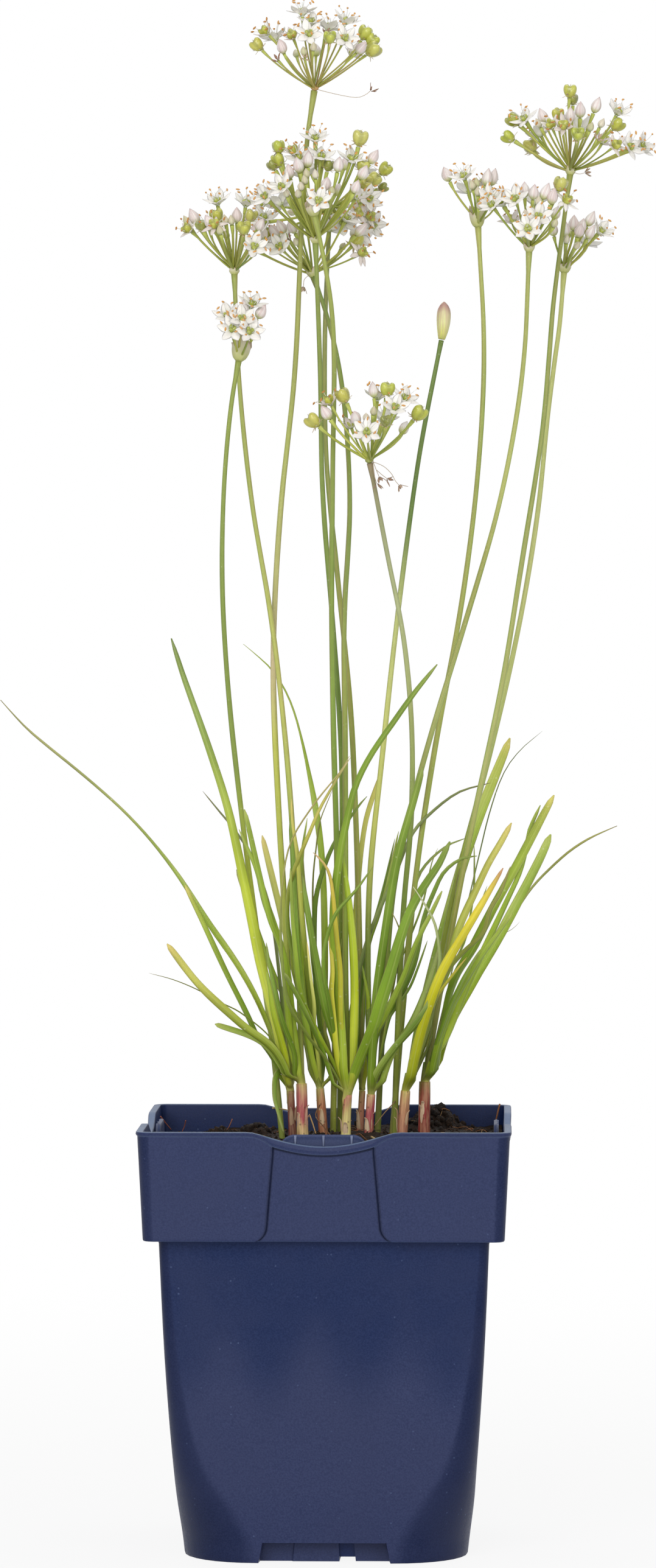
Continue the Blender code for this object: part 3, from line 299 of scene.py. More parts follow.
# The flower heads, by stalk: how far the rays reach, and the blossoms. Each blossom has its kind, how far
# it stands beside and above the head's foot, and how far it comes to the front (1) or lies to the back
# (-1) of the ball that the rays reach.
OPEN, SPENT, WITHERED = "open", "spent", "withered"
BUD, SMALL_BUD, FRUIT, DARK_FRUIT = "bud", "small_bud", "fruit", "dark_fruit"
HEADS = {
    1: (21, [
         (FRUIT, -17.3, 13.5, .3), (SPENT, -14.6, 17.3, -.2), (BUD, -9.4, 11.7, .9),
        (WITHERED, -11, 8.2, .8), (OPEN, -3.7, 23, -.6), (OPEN, -1.1, 20, .2), (SPENT, -6.4, 15.4, .6),
        (OPEN, -1.3, 15.5, .9), (FRUIT, 5, 14.5, 1), (OPEN, 9.3, 14.3, .9), (OPEN, 9.3, 20.3, -.3),
        (FRUIT, 15.1, 16.8, -.5), (FRUIT, 17.3, 14.7, .2), (FRUIT, 17.3, 11.5, .5), (BUD, 14.1, 11.9, .7),
        (SMALL_BUD, -2.8, 10.3, .8), (SMALL_BUD, .1, 11.5, .9), (WITHERED, 3.5, 17.3, .4),
        (WITHERED, -2.5, 8.5, .8), (OPEN, -12, 16, -.9), (SPENT, 11, 12, -.9), (BUD, 0, 13, -.9),
        (OPEN, 4, 19, -.8), (SMALL_BUD, -6, 12, -.9),
    ]),
    2: (25, [
         (OPEN, 0, 30.2, -.1), (FRUIT, 13.3, 30.2, 0), (FRUIT, -11.1, 28, 0), (FRUIT, -11.1, 24.1, .4),
        (DARK_FRUIT, -12.8, 22.3, .3), (OPEN, -4.8, 24.3, .5), (SPENT, -6.6, 26.5, -.2),
        (BUD, -2, 23.6, .7), (BUD, -4.8, 21.6, .8), (BUD, -7.5, 19.8, .8), (BUD, 7.1, 21.9, .8),
        (BUD, 17.3, 24.7, .3), (BUD, 14.4, 19.8, .7), (OPEN, 1.8, 24.7, .7), (OPEN, 10.6, 24.1, .6),
        (FRUIT, 14.3, 22.3, .2), (DARK_FRUIT, 4, 21.9, .3), (SMALL_BUD, -2.2, 19, .9),
        (SMALL_BUD, .4, 18.7, .9), (SMALL_BUD, -2.7, 17, .9), (SMALL_BUD, -3.8, 15, .9),
        (BUD, 3.7, 15.5, 1), (SMALL_BUD, 5.4, 13.5, 1), (BUD, 12.4, 15.2, .8), (OPEN, -14.6, 12.4, .6),
        (OPEN, -9.5, 15, .8), (SMALL_BUD, -8.2, 13.2, .8), (SMALL_BUD, -4.6, 12.8, .9), (OPEN, -4, 20, -.9),
        (BUD, 6, 16, -.9), (SPENT, 12, 14, -.9), (OPEN, -11, 12, -.9), (FRUIT, 2, 24, -.8),
    ]),
    3: (21, [
         (FRUIT, 16.8, 11.8, 0), (FRUIT, 13.3, 8.4, .4), (FRUIT, 10.6, 6.7, .6),
        (DARK_FRUIT, 16.1, 6.3, .2), (OPEN, 12, 2.1, .8), (SPENT, 8.6, -2.2, .8), (SPENT, 12, -2.8, .5),
        (OPEN, 12.9, -5.4, .3), (OPEN, 4.2, -5, .9), (OPEN, 8.6, -8.6, .4), (OPEN, -19.6, -4, .2),
        (OPEN, -20.4, 1.7, -.2), (BUD, -21.7, -6.2, .1), (SMALL_BUD, -13.8, 2.4, .7),
        (SMALL_BUD, -11.4, -1.9, .7), (OPEN, -6, 12, -.7), (BUD, 4, 14, -.7), (OPEN, 10, 12, -.7),
        (SPENT, -14, 8, -.6), (BUD, -3, 5, -1), (FRUIT, 8, 3, -.9), (OPEN, -10, 2, -.9),
    ]),
    4: (20, [
         (SPENT, -13.9, 8.9, .4), (OPEN, -9.2, 7.4, .9), (OPEN, -17.4, 7.4, .1), (BUD, -11.1, 12.4, .6),
        (BUD, -9.1, 13.7, .6), (BUD, -5.7, 13.7, .6), (SMALL_BUD, -3.1, 11.6, .8),
        (SMALL_BUD, -4.3, 8.9, .8), (WITHERED, -6.8, 10, .8), (BUD, 14.7, 13, .3), (OPEN, 10.4, 16.5, .2),
        (SPENT, 15, 6, .5), (OPEN, 5, 14, -.8), (BUD, -2, 16, -.8), (OPEN, -9, 12, -.9),
        (SMALL_BUD, 9, 9, -.9), (FRUIT, 13, 10, -.8),
    ]),
    6: (20, [
         (OPEN, -5.1, 21.1, -.1), (OPEN, 3.5, 20.6, -.1), (BUD, -11.9, 16.3, .1),
        (SMALL_BUD, -14.3, 15.6, .1), (SPENT, -13.6, 12.8, .4), (DARK_FRUIT, -9.5, 13.5, .6),
        (BUD, -7.1, 14.8, .7), (SPENT, -5.3, 13.5, .9), (FRUIT, -5.1, 16.7, .5),
        (SMALL_BUD, -3.7, 11.9, .9), (SMALL_BUD, -2.3, 15.2, .8), (SMALL_BUD, -.4, 15, .8),
        (BUD, 1.1, 16.5, .7), (FRUIT, 5.2, 16.9, .5), (OPEN, 8.9, 16.1, .4), (BUD, 8.1, 13.9, .7),
        (FRUIT, 3.5, 12.5, .9), (OPEN, 6.6, 6.8, 1), (OPEN, -8, 14, -.9), (BUD, 3, 16, -.9),
        (SPENT, 9, 11, -.9), (SMALL_BUD, -3, 12, -.9),
    ]),
    7: (16, [
         (OPEN, -3.1, 13.1, .7), (OPEN, 3.6, 8.4, .9), (OPEN, 3.7, 16.9, -.2), (BUD, 1.4, 15.3, .3),
        (OPEN, -1.5, 9.2, .8), (OPEN, 1.2, 12.2, .9), (BUD, 6.5, 14.7, .1), (SMALL_BUD, 3.3, 13.1, .5),
        (OPEN, -1, 12, -.9), (BUD, 4, 10, -.9),
    ]),
    8: (21, [
         (FRUIT, -16.6, 11.8, .1), (BUD, -12.8, 14.1, .2), (SPENT, -11.9, 17.5, -.1),
        (FRUIT, -7.8, 19.2, .1), (OPEN, -.4, 8, 1), (BUD, -3.8, 12.3, .8), (SMALL_BUD, -.7, 12.5, .9),
        (SMALL_BUD, 1.4, 14.5, .8), (BUD, 1.1, 20.9, .1), (OPEN, 2.2, 19, -.5), (FRUIT, 5.2, 21, 0),
        (OPEN, 7.6, 15.5, .7), (OPEN, 10.3, 18.4, -.3), (FRUIT, 14.3, 13.9, .1),
        (DARK_FRUIT, 5.1, 11.2, .9), (SPENT, -6, 11, -.9), (OPEN, 4, 13, -.9), (BUD, 10, 10, -.8),
    ]),
    10: (17, [
         (BUD, -9.4, 16.2, .1), (OPEN, -4.2, 15.3, .4), (BUD, 2.7, 14.7, .4), (BUD, 4.5, 14.9, .1),
        (SMALL_BUD, -1.7, 12.5, .6), (SMALL_BUD, -.4, 13.3, .5), (SMALL_BUD, 0, 10.5, .7),
        (OPEN, 3.9, 8.3, .8), (SMALL_BUD, .6, 6.3, .8), (SPENT, 2, 14, -.8), (OPEN, -3, 12, -.9),
        (SPENT, 5.7, 9, -.6),
    ]),
    11: (19, [
         (OPEN, -4.2, 14, .7), (BUD, -1.4, 17.1, .3), (BUD, 1.3, 16.2, .5), (BUD, 4.7, 16.2, .4),
        (BUD, 6.9, 14.8, .4), (SMALL_BUD, 2.7, 13.3, .7), (OPEN, 2.6, 8.4, .9), (OPEN, -.5, 4.7, 1),
        (SPENT, 11, 13.9, .2), (FRUIT, 9.3, 18.8, -.1), (SMALL_BUD, -1.1, 9.3, .9),
        (SMALL_BUD, 7.5, 6.6, .8), (OPEN, -8, 13.5, -.4), (OPEN, 2, 14, -.9), (BUD, 8, 11, -.9),
        (SPENT, -5, 9, -.9), (OPEN, -11, 12.5, .1),
    ]),
    12: (22, [
         (FRUIT, -18.8, 10.3, .1), (FRUIT, -17.1, 15.3, -.1), (OPEN, -13.8, 15.3, .3),
        (SMALL_BUD, -9.7, 13.7, .6), (BUD, -8.5, 16.2, .4), (FRUIT, -3.9, 16.8, .4),
        (SPENT, -5.9, 12.7, .8), (SPENT, -2.2, 12.4, .9), (BUD, -.2, 15.7, .7), (FRUIT, 2, 9.6, 1),
        (FRUIT, -.1, 24, 0), (DARK_FRUIT, .7, 21.4, -.2), (BUD, 2.9, 17.7, .4), (BUD, 7.7, 19.4, .1),
        (SMALL_BUD, 9.2, 13.6, .6), (SMALL_BUD, 5.9, 12.2, .8), (FRUIT, 14.1, 13.7, .2),
        (OPEN, 14.2, 17.5, -.4), (OPEN, 17.7, 6.8, .5), (OPEN, 21.2, 7.4, 0), (SPENT, 13.3, 6.8, .8),
        (WITHERED, 8.1, 8.8, .9), (OPEN, 3, 14, -.9), (OPEN, -9, 12, -.9), (SPENT, 10, 10, -.9),
        (BUD, -3, 17, -.9), (FRUIT, -12, 8, -.8),
    ]),
    13: (16, [
         (BUD, 2.8, 13.2, .3), (BUD, 5.2, 12.4, .4), (BUD, 4.5, 10.8, .7), (BUD, 7.8, 14.5, -.2),
        (BUD, 7.8, 10.4, .4), (OPEN, 10.8, 10.8, .1), (BUD, .2, 11.3, .6), (SMALL_BUD, .6, 8, .8),
        (SMALL_BUD, 3.7, 6.1, .9), (BUD, -3.5, 11.5, .3), (BUD, 2, 12, -.9), (OPEN, 7, 8, -.9),
    ]),
    5: (6, [
        (OPEN, 1.5, 3.2, 1),
    ]),
}
# Heads whose papery bract still stands round the foot of the rays: its height and half width.
BRACTS = {5: (4.6, 2.0), 7: (7.2, 2.7), 10: (6.0, 2.3), 11: (2.6, 1.7), 13: (3.4, 1.9), 2: (3.0, 1.7),
          3: (2.4, 1.5), 4: (3.0, 1.6), 6: (2.0, 1.5), 12: (2.4, 1.6)}

# Starting numbers of the random draws; pieces that are numbered add their number.
CRUMB_SEED, FIBRE_SEED, SHEATH_SEED, LEAF_SEED = 21, 33, 100, 200
SMALL_LEAF_SEED, STALK_SEED, HEAD_SEED = 300, 400, 500

CAMERA_DISTANCE = 1998.0
CAMERA_HEIGHT = 286.0
CAMERA_TURN = 1.5                # degrees round the pot from straight in front
CAMERA_PITCH = 1.606             # degrees down
SENSOR_HEIGHT = 24.0
LENS = 101.37


# ---------------------------------------------------------------- settings
class PotSettings(bpy.types.PropertyGroup):
    """What a user would change on the pot."""
    wall: bpy.props.FloatProperty(
        name="Wall", description="Thickness of the pot's body", default=0.0009, unit="LENGTH", precision=4)
    panel_depth: bpy.props.FloatProperty(
        name="Panel Depth", description="How far the panel under each dip is sunk", default=0.0008,
        unit="LENGTH", precision=4)
    colour: bpy.props.FloatVectorProperty(
        name="Plastic", description="Colour of the plastic", default=rgb(28, 44, 86), subtype="COLOR",
        size=3, min=0, max=1)
    grain: bpy.props.FloatProperty(
        name="Grain", description="Size of the fine grain in the plastic", default=0.0005, unit="LENGTH",
        precision=5)


class SoilSettings(bpy.types.PropertyGroup):
    """What a user would change in the soil."""
    crumbs: bpy.props.IntProperty(
        name="Crumbs", description="Number of loose crumbs on the soil", default=1300, min=0)
    fibres: bpy.props.IntProperty(
        name="Fibres", description="Number of loose fibres on the soil", default=90, min=0)
    colour: bpy.props.FloatVectorProperty(
        name="Peat", description="Colour of the peat", default=rgb(30, 20, 15), subtype="COLOR", size=3,
        min=0, max=1)


class PlantSettings(bpy.types.PropertyGroup):
    """What a user would change on the leaves and stalks."""
    leaf_thickness: bpy.props.FloatProperty(
        name="Leaf Thickness", description="Thickness of a leaf in its middle", default=0.0006,
        unit="LENGTH", precision=5)
    edge_colour: bpy.props.FloatVectorProperty(
        name="Leaf Edge", description="Colour of the thin edge of a leaf", default=rgb(168, 142, 112),
        subtype="COLOR", size=3, min=0, max=1)


class FlowerSettings(bpy.types.PropertyGroup):
    """What a user would change on the flower heads."""
    tepal_length: bpy.props.FloatProperty(
        name="Petal Length", description="Length of one petal", default=0.0053, unit="LENGTH", precision=4)
    tepal_width: bpy.props.FloatProperty(
        name="Petal Width", description="Width of one petal", default=0.0029, unit="LENGTH", precision=4)
    ray_radius: bpy.props.FloatProperty(
        name="Ray Radius", description="Radius of the thin stalk under each flower", default=0.00033,
        unit="LENGTH", precision=5)
    petal_colour: bpy.props.FloatVectorProperty(
        name="Petal", description="Colour of the petals", default=rgb(251, 248, 242), subtype="COLOR",
        size=3, min=0, max=1)
    fruit_colour: bpy.props.FloatVectorProperty(
        name="Capsule", description="Colour of the seed capsules", default=rgb(188, 190, 62),
        subtype="COLOR", size=3, min=0, max=1)
    anther_colour: bpy.props.FloatVectorProperty(
        name="Anther", description="Colour of the anthers", default=rgb(224, 162, 80), subtype="COLOR",
        size=3, min=0, max=1)


class StageSettings(bpy.types.PropertyGroup):
    """What a user would change on the stage."""
    floor_colour: bpy.props.FloatVectorProperty(
        name="Floor", description="Colour of the floor", default=(0.82, 0.82, 0.82), subtype="COLOR",
        size=3, min=0, max=1)
    key_power: bpy.props.FloatProperty(
        name="Main Lamp", description="Power of the main lamp", default=27.0, unit="POWER")
    fill_power: bpy.props.FloatProperty(
        name="Fill Lamp", description="Power of the lamp on the other side", default=11.0, unit="POWER")
    top_power: bpy.props.FloatProperty(
        name="Top Lamp", description="Power of the lamp above", default=10.0, unit="POWER")
    low_power: bpy.props.FloatProperty(
        name="Low Lamp", description="Power of the low lamp in front", default=8.0, unit="POWER")
    sky: bpy.props.FloatProperty(
        name="Room Light", description="Strength of the even light of the room", default=0.3, min=0)


# ---------------------------------------------------------------- small helpers
def clamp(value, low=0.0, high=1.0):
    return min(max(value, low), high)


def smooth(low, high, value):
    """0 below low, 1 above high and an even curve in between. High may be below low."""
    share = clamp((value - low) / (high - low))
    return share * share * (3 - 2 * share)


def mix(first, second, share):
    return tuple(a + (b - a) * share for a, b in zip(first, second))


def between(table, value):
    """A number or colour read from a table of (place, number or colour), straight between its places."""
    places = [row[0] for row in table]
    values = np.array([row[1] for row in table], float)
    if values.ndim == 1:
        return float(np.interp(value, places, values))
    return tuple(float(np.interp(value, places, values[:, k])) for k in range(values.shape[1]))


def curve(table, value):
    """A number read from a table of (place, number) on a smooth curve through its places."""
    places = [row[0] for row in table]
    values = [row[1] for row in table]
    value = clamp(value, places[0], places[-1])
    k = min(max(int(np.searchsorted(places, value)) - 1, 0), len(places) - 2)

    def slope(j):
        low, high = max(j - 1, 0), min(j + 1, len(places) - 1)
        return (values[high] - values[low]) / (places[high] - places[low])
    span = places[k + 1] - places[k]
    t = (value - places[k]) / span
    return ((2 * t ** 3 - 3 * t ** 2 + 1) * values[k] + (t ** 3 - 2 * t ** 2 + t) * span * slope(k)
            + (3 * t ** 2 - 2 * t ** 3) * values[k + 1] + (t ** 3 - t ** 2) * span * slope(k + 1))


def settings():
    return bpy.context.scene


def grid_skin(columns, rows, place):
    """A skin of columns by rows. place(column, row) gives a point's position, flow and tone.

    flow says where the point lies on its piece, for patterns that follow it; tone is its colour.
    """
    bm = bmesh.new()
    flow = bm.verts.layers.float_vector.new("flow")
    tone = bm.verts.layers.float_color.new("tone")
    points = bmesh.ops.create_grid(bm, x_segments=columns, y_segments=rows, size=0.5)["verts"]
    for vert in points:
        column, row = round((vert.co.x + 0.5) * columns), round((vert.co.y + 0.5) * rows)
        position, where, colour = place(column, row)
        vert.co = position
        vert[flow] = where
        vert[tone] = (*colour, 1.0)
    bmesh.ops.remove_doubles(bm, verts=bm.verts, dist=1e-5)
    return bm


def to_mesh(bm):
    mesh = bpy.data.meshes.new("part")
    bm.to_mesh(mesh)
    bm.free()
    return mesh


def join(meshes):
    """One bmesh from a list of meshes, which are used up."""
    bm = bmesh.new()
    for mesh in meshes:
        bm.from_mesh(mesh)
        bpy.data.meshes.remove(mesh)
    return bm


def new_piece(name, bm, material, nodes=(), sharp=None):
    """Turn a bmesh in millimetres into a finished piece that rides on the plant and its pot."""
    bmesh.ops.recalc_face_normals(bm, faces=bm.faces)
    bmesh.ops.scale(bm, vec=(MM, MM, MM), verts=bm.verts)
    mesh = bpy.data.meshes.new(name)
    bm.to_mesh(mesh)
    bm.free()
    mesh.shade_smooth()
    if sharp:
        mesh.set_sharp_from_angle(angle=math.radians(sharp))
    mesh.materials.append(material)
    piece = bpy.data.objects.new(name, mesh)
    bpy.context.scene.collection.objects.link(piece)
    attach(piece, "root")
    if nodes:
        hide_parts(*nodes)
    return piece


# ---------------------------------------------------------------- paths and skins along them
def resample(points, steps):
    """Evenly spaced points on a smooth curve (Catmull-Rom) through the given ones."""
    knots = np.array([tuple(point) for point in points], float)
    ends = [2 * knots[0] - knots[1], *knots, 2 * knots[-1] - knots[-2]]
    fine = []
    for before, start, stop, after in zip(ends, ends[1:], ends[2:], ends[3:]):
        for t in np.linspace(0, 1, 8, endpoint=False):
            fine.append(0.5 * (2 * start + (stop - before) * t
                               + (2 * before - 5 * start + 4 * stop - after) * t ** 2
                               + (3 * start - before - 3 * stop + after) * t ** 3))
    fine.append(knots[-1])
    fine = np.array(fine)
    length = np.r_[0, np.cumsum(np.linalg.norm(np.diff(fine, axis=0), axis=1))]
    even = np.linspace(0, length[-1], steps + 1)
    return [Vector([np.interp(s, length, fine[:, axis]) for axis in range(3)]) for s in even]


def directions(path):
    """The unit direction of a path at each of its points."""
    last = len(path) - 1
    return [(path[min(k + 1, last)] - path[max(k - 1, 0)]).normalized() for k in range(last + 1)]


def carried_frames(path, first):
    """Across and outward directions along a path, carried on from the first without twisting."""
    frames, outward = [], Vector(first)
    for along in directions(path):
        outward = (outward - along * outward.dot(along)).normalized()
        frames.append((outward.cross(along), outward))
    return frames


def swept(path, frames, sides, section, colour):
    """A closed skin along a path.

    section(share, angle) gives a point of the cross-section, across and outward in millimetres, and
    colour(share, angle, distance) its tone, for a share of the length and an angle round it.
    """
    steps = [0.0]
    for before, after in zip(path, path[1:]):
        steps.append(steps[-1] + (after - before).length)
    last = len(path) - 1

    def place(column, row):
        k = int(clamp(row - 1, 0, last))
        share = steps[k] / steps[-1]
        angle = 2 * math.pi * (column % sides) / sides
        across, outward = section(share, angle)
        if row in (0, last + 2):
            across = outward = 0.0
        position = path[k] + frames[k][0] * across + frames[k][1] * outward
        where = (math.cos(angle), math.sin(angle), steps[k])
        return position, where, colour(share, angle, steps[k])
    return to_mesh(grid_skin(sides, last + 2, place))


def round_section(radius_at):
    def section(share, angle):
        radius = radius_at(share)
        return radius * math.cos(angle), radius * math.sin(angle)
    return section


def plain(colour):
    """One colour all over a swept skin."""
    return lambda share, angle, distance: colour


def graded(tones):
    """Colour stops along a swept skin."""
    return lambda share, angle, distance: between(tones, share)


def lathe(columns, rows, shape, lift=0.0):
    """A round skin; shape(share, angle) gives its radius, height and tone on the way up."""
    def place(column, row):
        angle = 2 * math.pi * (column % columns) / columns
        out, up, tone = shape(row / rows, angle)
        position = Vector((out * math.cos(angle), out * math.sin(angle), lift + up))
        return position, (math.cos(angle), math.sin(angle), up), tone
    return grid_skin(columns, rows, place)


def set_on(place, up):
    """The move that stands a piece on a place, with its +Z along up."""
    return Matrix.Translation(place) @ up.to_track_quat("Z", "Y").to_matrix().to_4x4()


def blade_section(half_at, thickness, wrap_at, keel=0.0):
    """Cross-section of a leaf: a thin lens bent round its inner side, with a keel on the outer one."""
    def section(share, angle):
        half = half_at(share)
        wrap = wrap_at(share)
        across = math.cos(angle)
        turn = wrap * across
        reach = half / wrap
        deep = min(thickness / 2, half * 0.7) * math.sin(angle) + keel * half * (1 - abs(across)) ** 1.5
        return (reach + deep) * math.sin(turn), (reach + deep) * math.cos(turn) - reach
    return section


def axis_rings(node, sides):
    """The rings of points that a packed stem is made of, from its foot to its tip.

    Each ring is the nearest points that are left to the middle of the ring before it.
    """
    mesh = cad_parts[node].data
    loose = np.array([vert.co for vert in mesh.vertices], float) / MM
    points = np.unique(np.round(loose, 3), axis=0)
    centre = points[points[:, 2].argmin()]
    rings = []
    while len(points) >= sides:
        nearest = np.linalg.norm(points - centre, axis=1).argmin()
        order = np.linalg.norm(points - points[nearest], axis=1).argsort()
        rings.append(points[order[:sides]])
        points = points[order[sides:]]
        centre = rings[-1].mean(axis=0)
    return rings


def stacked_rings(node, sides):
    """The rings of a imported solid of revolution, told apart by their place along its length."""
    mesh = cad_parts[node].data
    points = np.unique(np.round(np.array([vert.co for vert in mesh.vertices], float) / MM, 3), axis=0)
    axis = np.linalg.svd(points - points.mean(axis=0))[2][0]
    order = (points @ axis * np.sign(axis[2])).argsort()
    return [points[order[k:k + sides]] for k in range(0, len(points), sides)]


def centre_line(rings):
    return [Vector(ring.mean(axis=0)) for ring in rings]


def packed_stem(node, sides):
    """Centre line of a packed stem, and its radii as a table over its length."""
    rings = axis_rings(node, sides)
    radii = [float(np.linalg.norm(ring - ring.mean(axis=0), axis=1).mean()) for ring in rings]
    return centre_line(rings), [(k / (len(radii) - 1), radius) for k, radius in enumerate(radii)]


def blade_axes(rings):
    """The direction across the blade at each ring of a packed leaf."""
    axes, before = [], None
    for ring in rings:
        gaps = np.linalg.norm(ring[:, None] - ring[None], axis=2)
        i, j = np.unravel_index(gaps.argmax(), gaps.shape)
        across = Vector(ring[j] - ring[i]).normalized()
        if before is not None and (gaps.max() < 0.9 or across.length == 0):
            across = before.copy()
        if before is not None and across.dot(before) < 0:
            across.negate()
        axes.append(across)
        before = across
    return axes


# ---------------------------------------------------------------- materials
def new_group(name, inputs, outputs):
    """A shader node group with named inputs and outputs."""
    group = bpy.data.node_groups.new(name, "ShaderNodeTree")
    for label, kind, default in inputs:
        socket = group.interface.new_socket(label, in_out="INPUT", socket_type=f"NodeSocket{kind}")
        if default is not None:
            socket.default_value = default
    for label, kind in outputs:
        group.interface.new_socket(label, in_out="OUTPUT", socket_type=f"NodeSocket{kind}")
    enter = group.nodes.new("NodeGroupInput")
    leave = group.nodes.new("NodeGroupOutput")
    return group, enter, leave


class Nodes:
    """Short calls that add nodes to one tree and join them up."""

    def __init__(self, tree):
        self.tree = tree

    def add(self, kind, **values):
        node = self.tree.nodes.new(kind)
        for name, value in values.items():
            setattr(node, name, value)
        return node

    def link(self, source, target):
        self.tree.links.new(source, target)

    def feed(self, target, value):
        if isinstance(value, bpy.types.NodeSocket):
            self.link(value, target)
        else:
            target.default_value = value

    def maths(self, operation, first, second=0.0, limit=False):
        node = self.add("ShaderNodeMath", operation=operation, use_clamp=limit)
        self.feed(node.inputs[0], first)
        self.feed(node.inputs[1], second)
        return node.outputs[0]

    def span(self, value, low, high, to_low=0.0, to_high=1.0):
        """Map Range with soft ends."""
        node = self.add("ShaderNodeMapRange", interpolation_type="SMOOTHSTEP")
        for socket, number in zip(node.inputs, (value, low, high, to_low, to_high)):
            self.feed(socket, number)
        return node.outputs[0]

    def contrasted(self, value, contrast, strength, widest):
        """Spread a value round its middle, over a range that narrows as the contrast grows."""
        spread = self.maths("MULTIPLY", contrast, strength)
        low = self.maths("SUBTRACT", 0.5, self.maths("SUBTRACT", widest, spread))
        high = self.maths("ADD", 0.5, self.maths("SUBTRACT", widest, spread))
        return self.span(value, low, high)

    def blend(self, share, first, second, mode="MIX"):
        node = self.add("ShaderNodeMix", data_type="RGBA", blend_type=mode, clamp_factor=True)
        self.feed(node.inputs[0], share)
        self.feed(node.inputs[6], first)
        self.feed(node.inputs[7], second)
        return node.outputs[2]

    def noise(self, vector, scale, detail=2.0, roughness=0.5):
        node = self.add("ShaderNodeTexNoise")
        self.feed(node.inputs["Vector"], vector)
        self.feed(node.inputs["Scale"], scale)
        node.inputs["Detail"].default_value = detail
        node.inputs["Roughness"].default_value = roughness
        return node.outputs["Fac"]

    def place(self, group, **values):
        """A node group, with values or links for its inputs; underscores stand for spaces."""
        node = self.add("ShaderNodeGroup", node_tree=bpy.data.node_groups[group])
        for name, value in values.items():
            self.feed(node.inputs[name.replace("_", " ")], value)
        return node


def make_groups():
    """The effects that more than one material uses."""
    group, enter, leave = new_group(
        "Lengthwise Fibres",
        [("Flow", "Vector", None), ("Count", "Float", 4.0), ("Stretch", "Float", 0.05),
         ("Contrast", "Float", 0.5)],
        [("Fibres", "Float")])
    n = Nodes(group)
    scale = n.add("ShaderNodeCombineXYZ")
    n.link(enter.outputs["Count"], scale.inputs[0])
    n.link(enter.outputs["Count"], scale.inputs[1])
    n.link(enter.outputs["Stretch"], scale.inputs[2])
    stretched = n.add("ShaderNodeVectorMath", operation="MULTIPLY")
    n.link(enter.outputs["Flow"], stretched.inputs[0])
    n.link(scale.outputs[0], stretched.inputs[1])
    lines = n.noise(stretched.outputs[0], 1.0, 3.0, 0.6)
    n.link(n.contrasted(lines, enter.outputs["Contrast"], 0.5, 0.52), leave.inputs["Fibres"])

    group, enter, leave = new_group(
        "Specks",
        [("Vector", "Vector", None), ("Size", "Float", 0.0005), ("Share", "Float", 0.1)],
        [("Specks", "Float")])
    n = Nodes(group)
    cells = n.add("ShaderNodeTexVoronoi", feature="F1")
    n.link(enter.outputs["Vector"], cells.inputs["Vector"])
    n.link(n.maths("DIVIDE", 1.0, enter.outputs["Size"]), cells.inputs["Scale"])
    chosen = n.add("ShaderNodeSeparateColor")
    n.link(cells.outputs["Color"], chosen.inputs[0])
    picked = n.maths("LESS_THAN", chosen.outputs[0], enter.outputs["Share"])
    dot = n.span(cells.outputs["Distance"], 0.32, 0.18)
    n.link(n.maths("MULTIPLY", picked, dot), leave.inputs["Specks"])

    group, enter, leave = new_group(
        "Mottle",
        [("Vector", "Vector", None), ("Size", "Float", 0.01), ("Contrast", "Float", 0.5)],
        [("Mottle", "Float")])
    n = Nodes(group)
    cloud = n.noise(enter.outputs["Vector"], n.maths("DIVIDE", 1.0, enter.outputs["Size"]), 4.0, 0.55)
    n.link(n.contrasted(cloud, enter.outputs["Contrast"], 0.45, 0.5), leave.inputs["Mottle"])


def new_material(name, roughness, **sockets):
    """A material with its shader; sockets are values set straight on the shader."""
    material = bpy.data.materials.new(name)
    material.use_nodes = True
    n = Nodes(material.node_tree)
    shader = n.tree.nodes["Principled BSDF"]
    shader.inputs["Roughness"].default_value = roughness
    for label, value in sockets.items():
        shader.inputs[label.replace("_", " ")].default_value = value
    return n, shader


def raised(n, shader, height, distance, strength=1.0):
    bump = n.add("ShaderNodeBump")
    bump.inputs["Strength"].default_value = strength
    bump.inputs["Distance"].default_value = distance
    n.link(height, bump.inputs["Height"])
    n.link(bump.outputs["Normal"], shader.inputs["Normal"])


def attribute(n, name):
    return n.add("ShaderNodeAttribute", attribute_name=name)


def object_place(n):
    return n.add("ShaderNodeTexCoord").outputs["Object"]


def make_pot_material():
    """Dark blue plastic in the piece's own tone, which carries painted light and shade, with a fine grain,
    cloudy patches and pale dust.
    """
    look = settings().pot_settings
    n, shader = new_material("pot_plastic", 0.45, Specular_IOR_Level=0.13)
    place = object_place(n)
    tone = attribute(n, "tone").outputs["Color"]
    grain = n.noise(place, 1 / look.grain, 2.0, 0.6)
    broad = n.place("Mottle", Vector=place, Size=0.03, Contrast=0.7).outputs[0]
    light = n.place("Specks", Vector=place, Size=0.0011, Share=0.03).outputs[0]
    dust = n.place("Mottle", Vector=place, Size=0.006, Contrast=0.8).outputs[0]
    base = n.blend(n.span(grain, 0.3, 0.7), n.blend(1.0, tone, (0.8, 0.8, 0.84, 1), "MULTIPLY"),
                   n.blend(0.03, tone, (*rgb(130, 136, 168), 1)))
    base = n.blend(n.maths("MULTIPLY", broad, 0.3), base, (*rgb(50, 56, 86), 1))
    base = n.blend(n.maths("MULTIPLY", light, n.maths("MULTIPLY", dust, 0.3)), base, (*rgb(96, 112, 150), 1))
    n.link(base, shader.inputs["Base Color"])
    n.link(n.span(grain, 0.3, 0.7, 0.36, 0.5), shader.inputs["Roughness"])
    raised(n, shader, grain, 0.00006, 0.6)


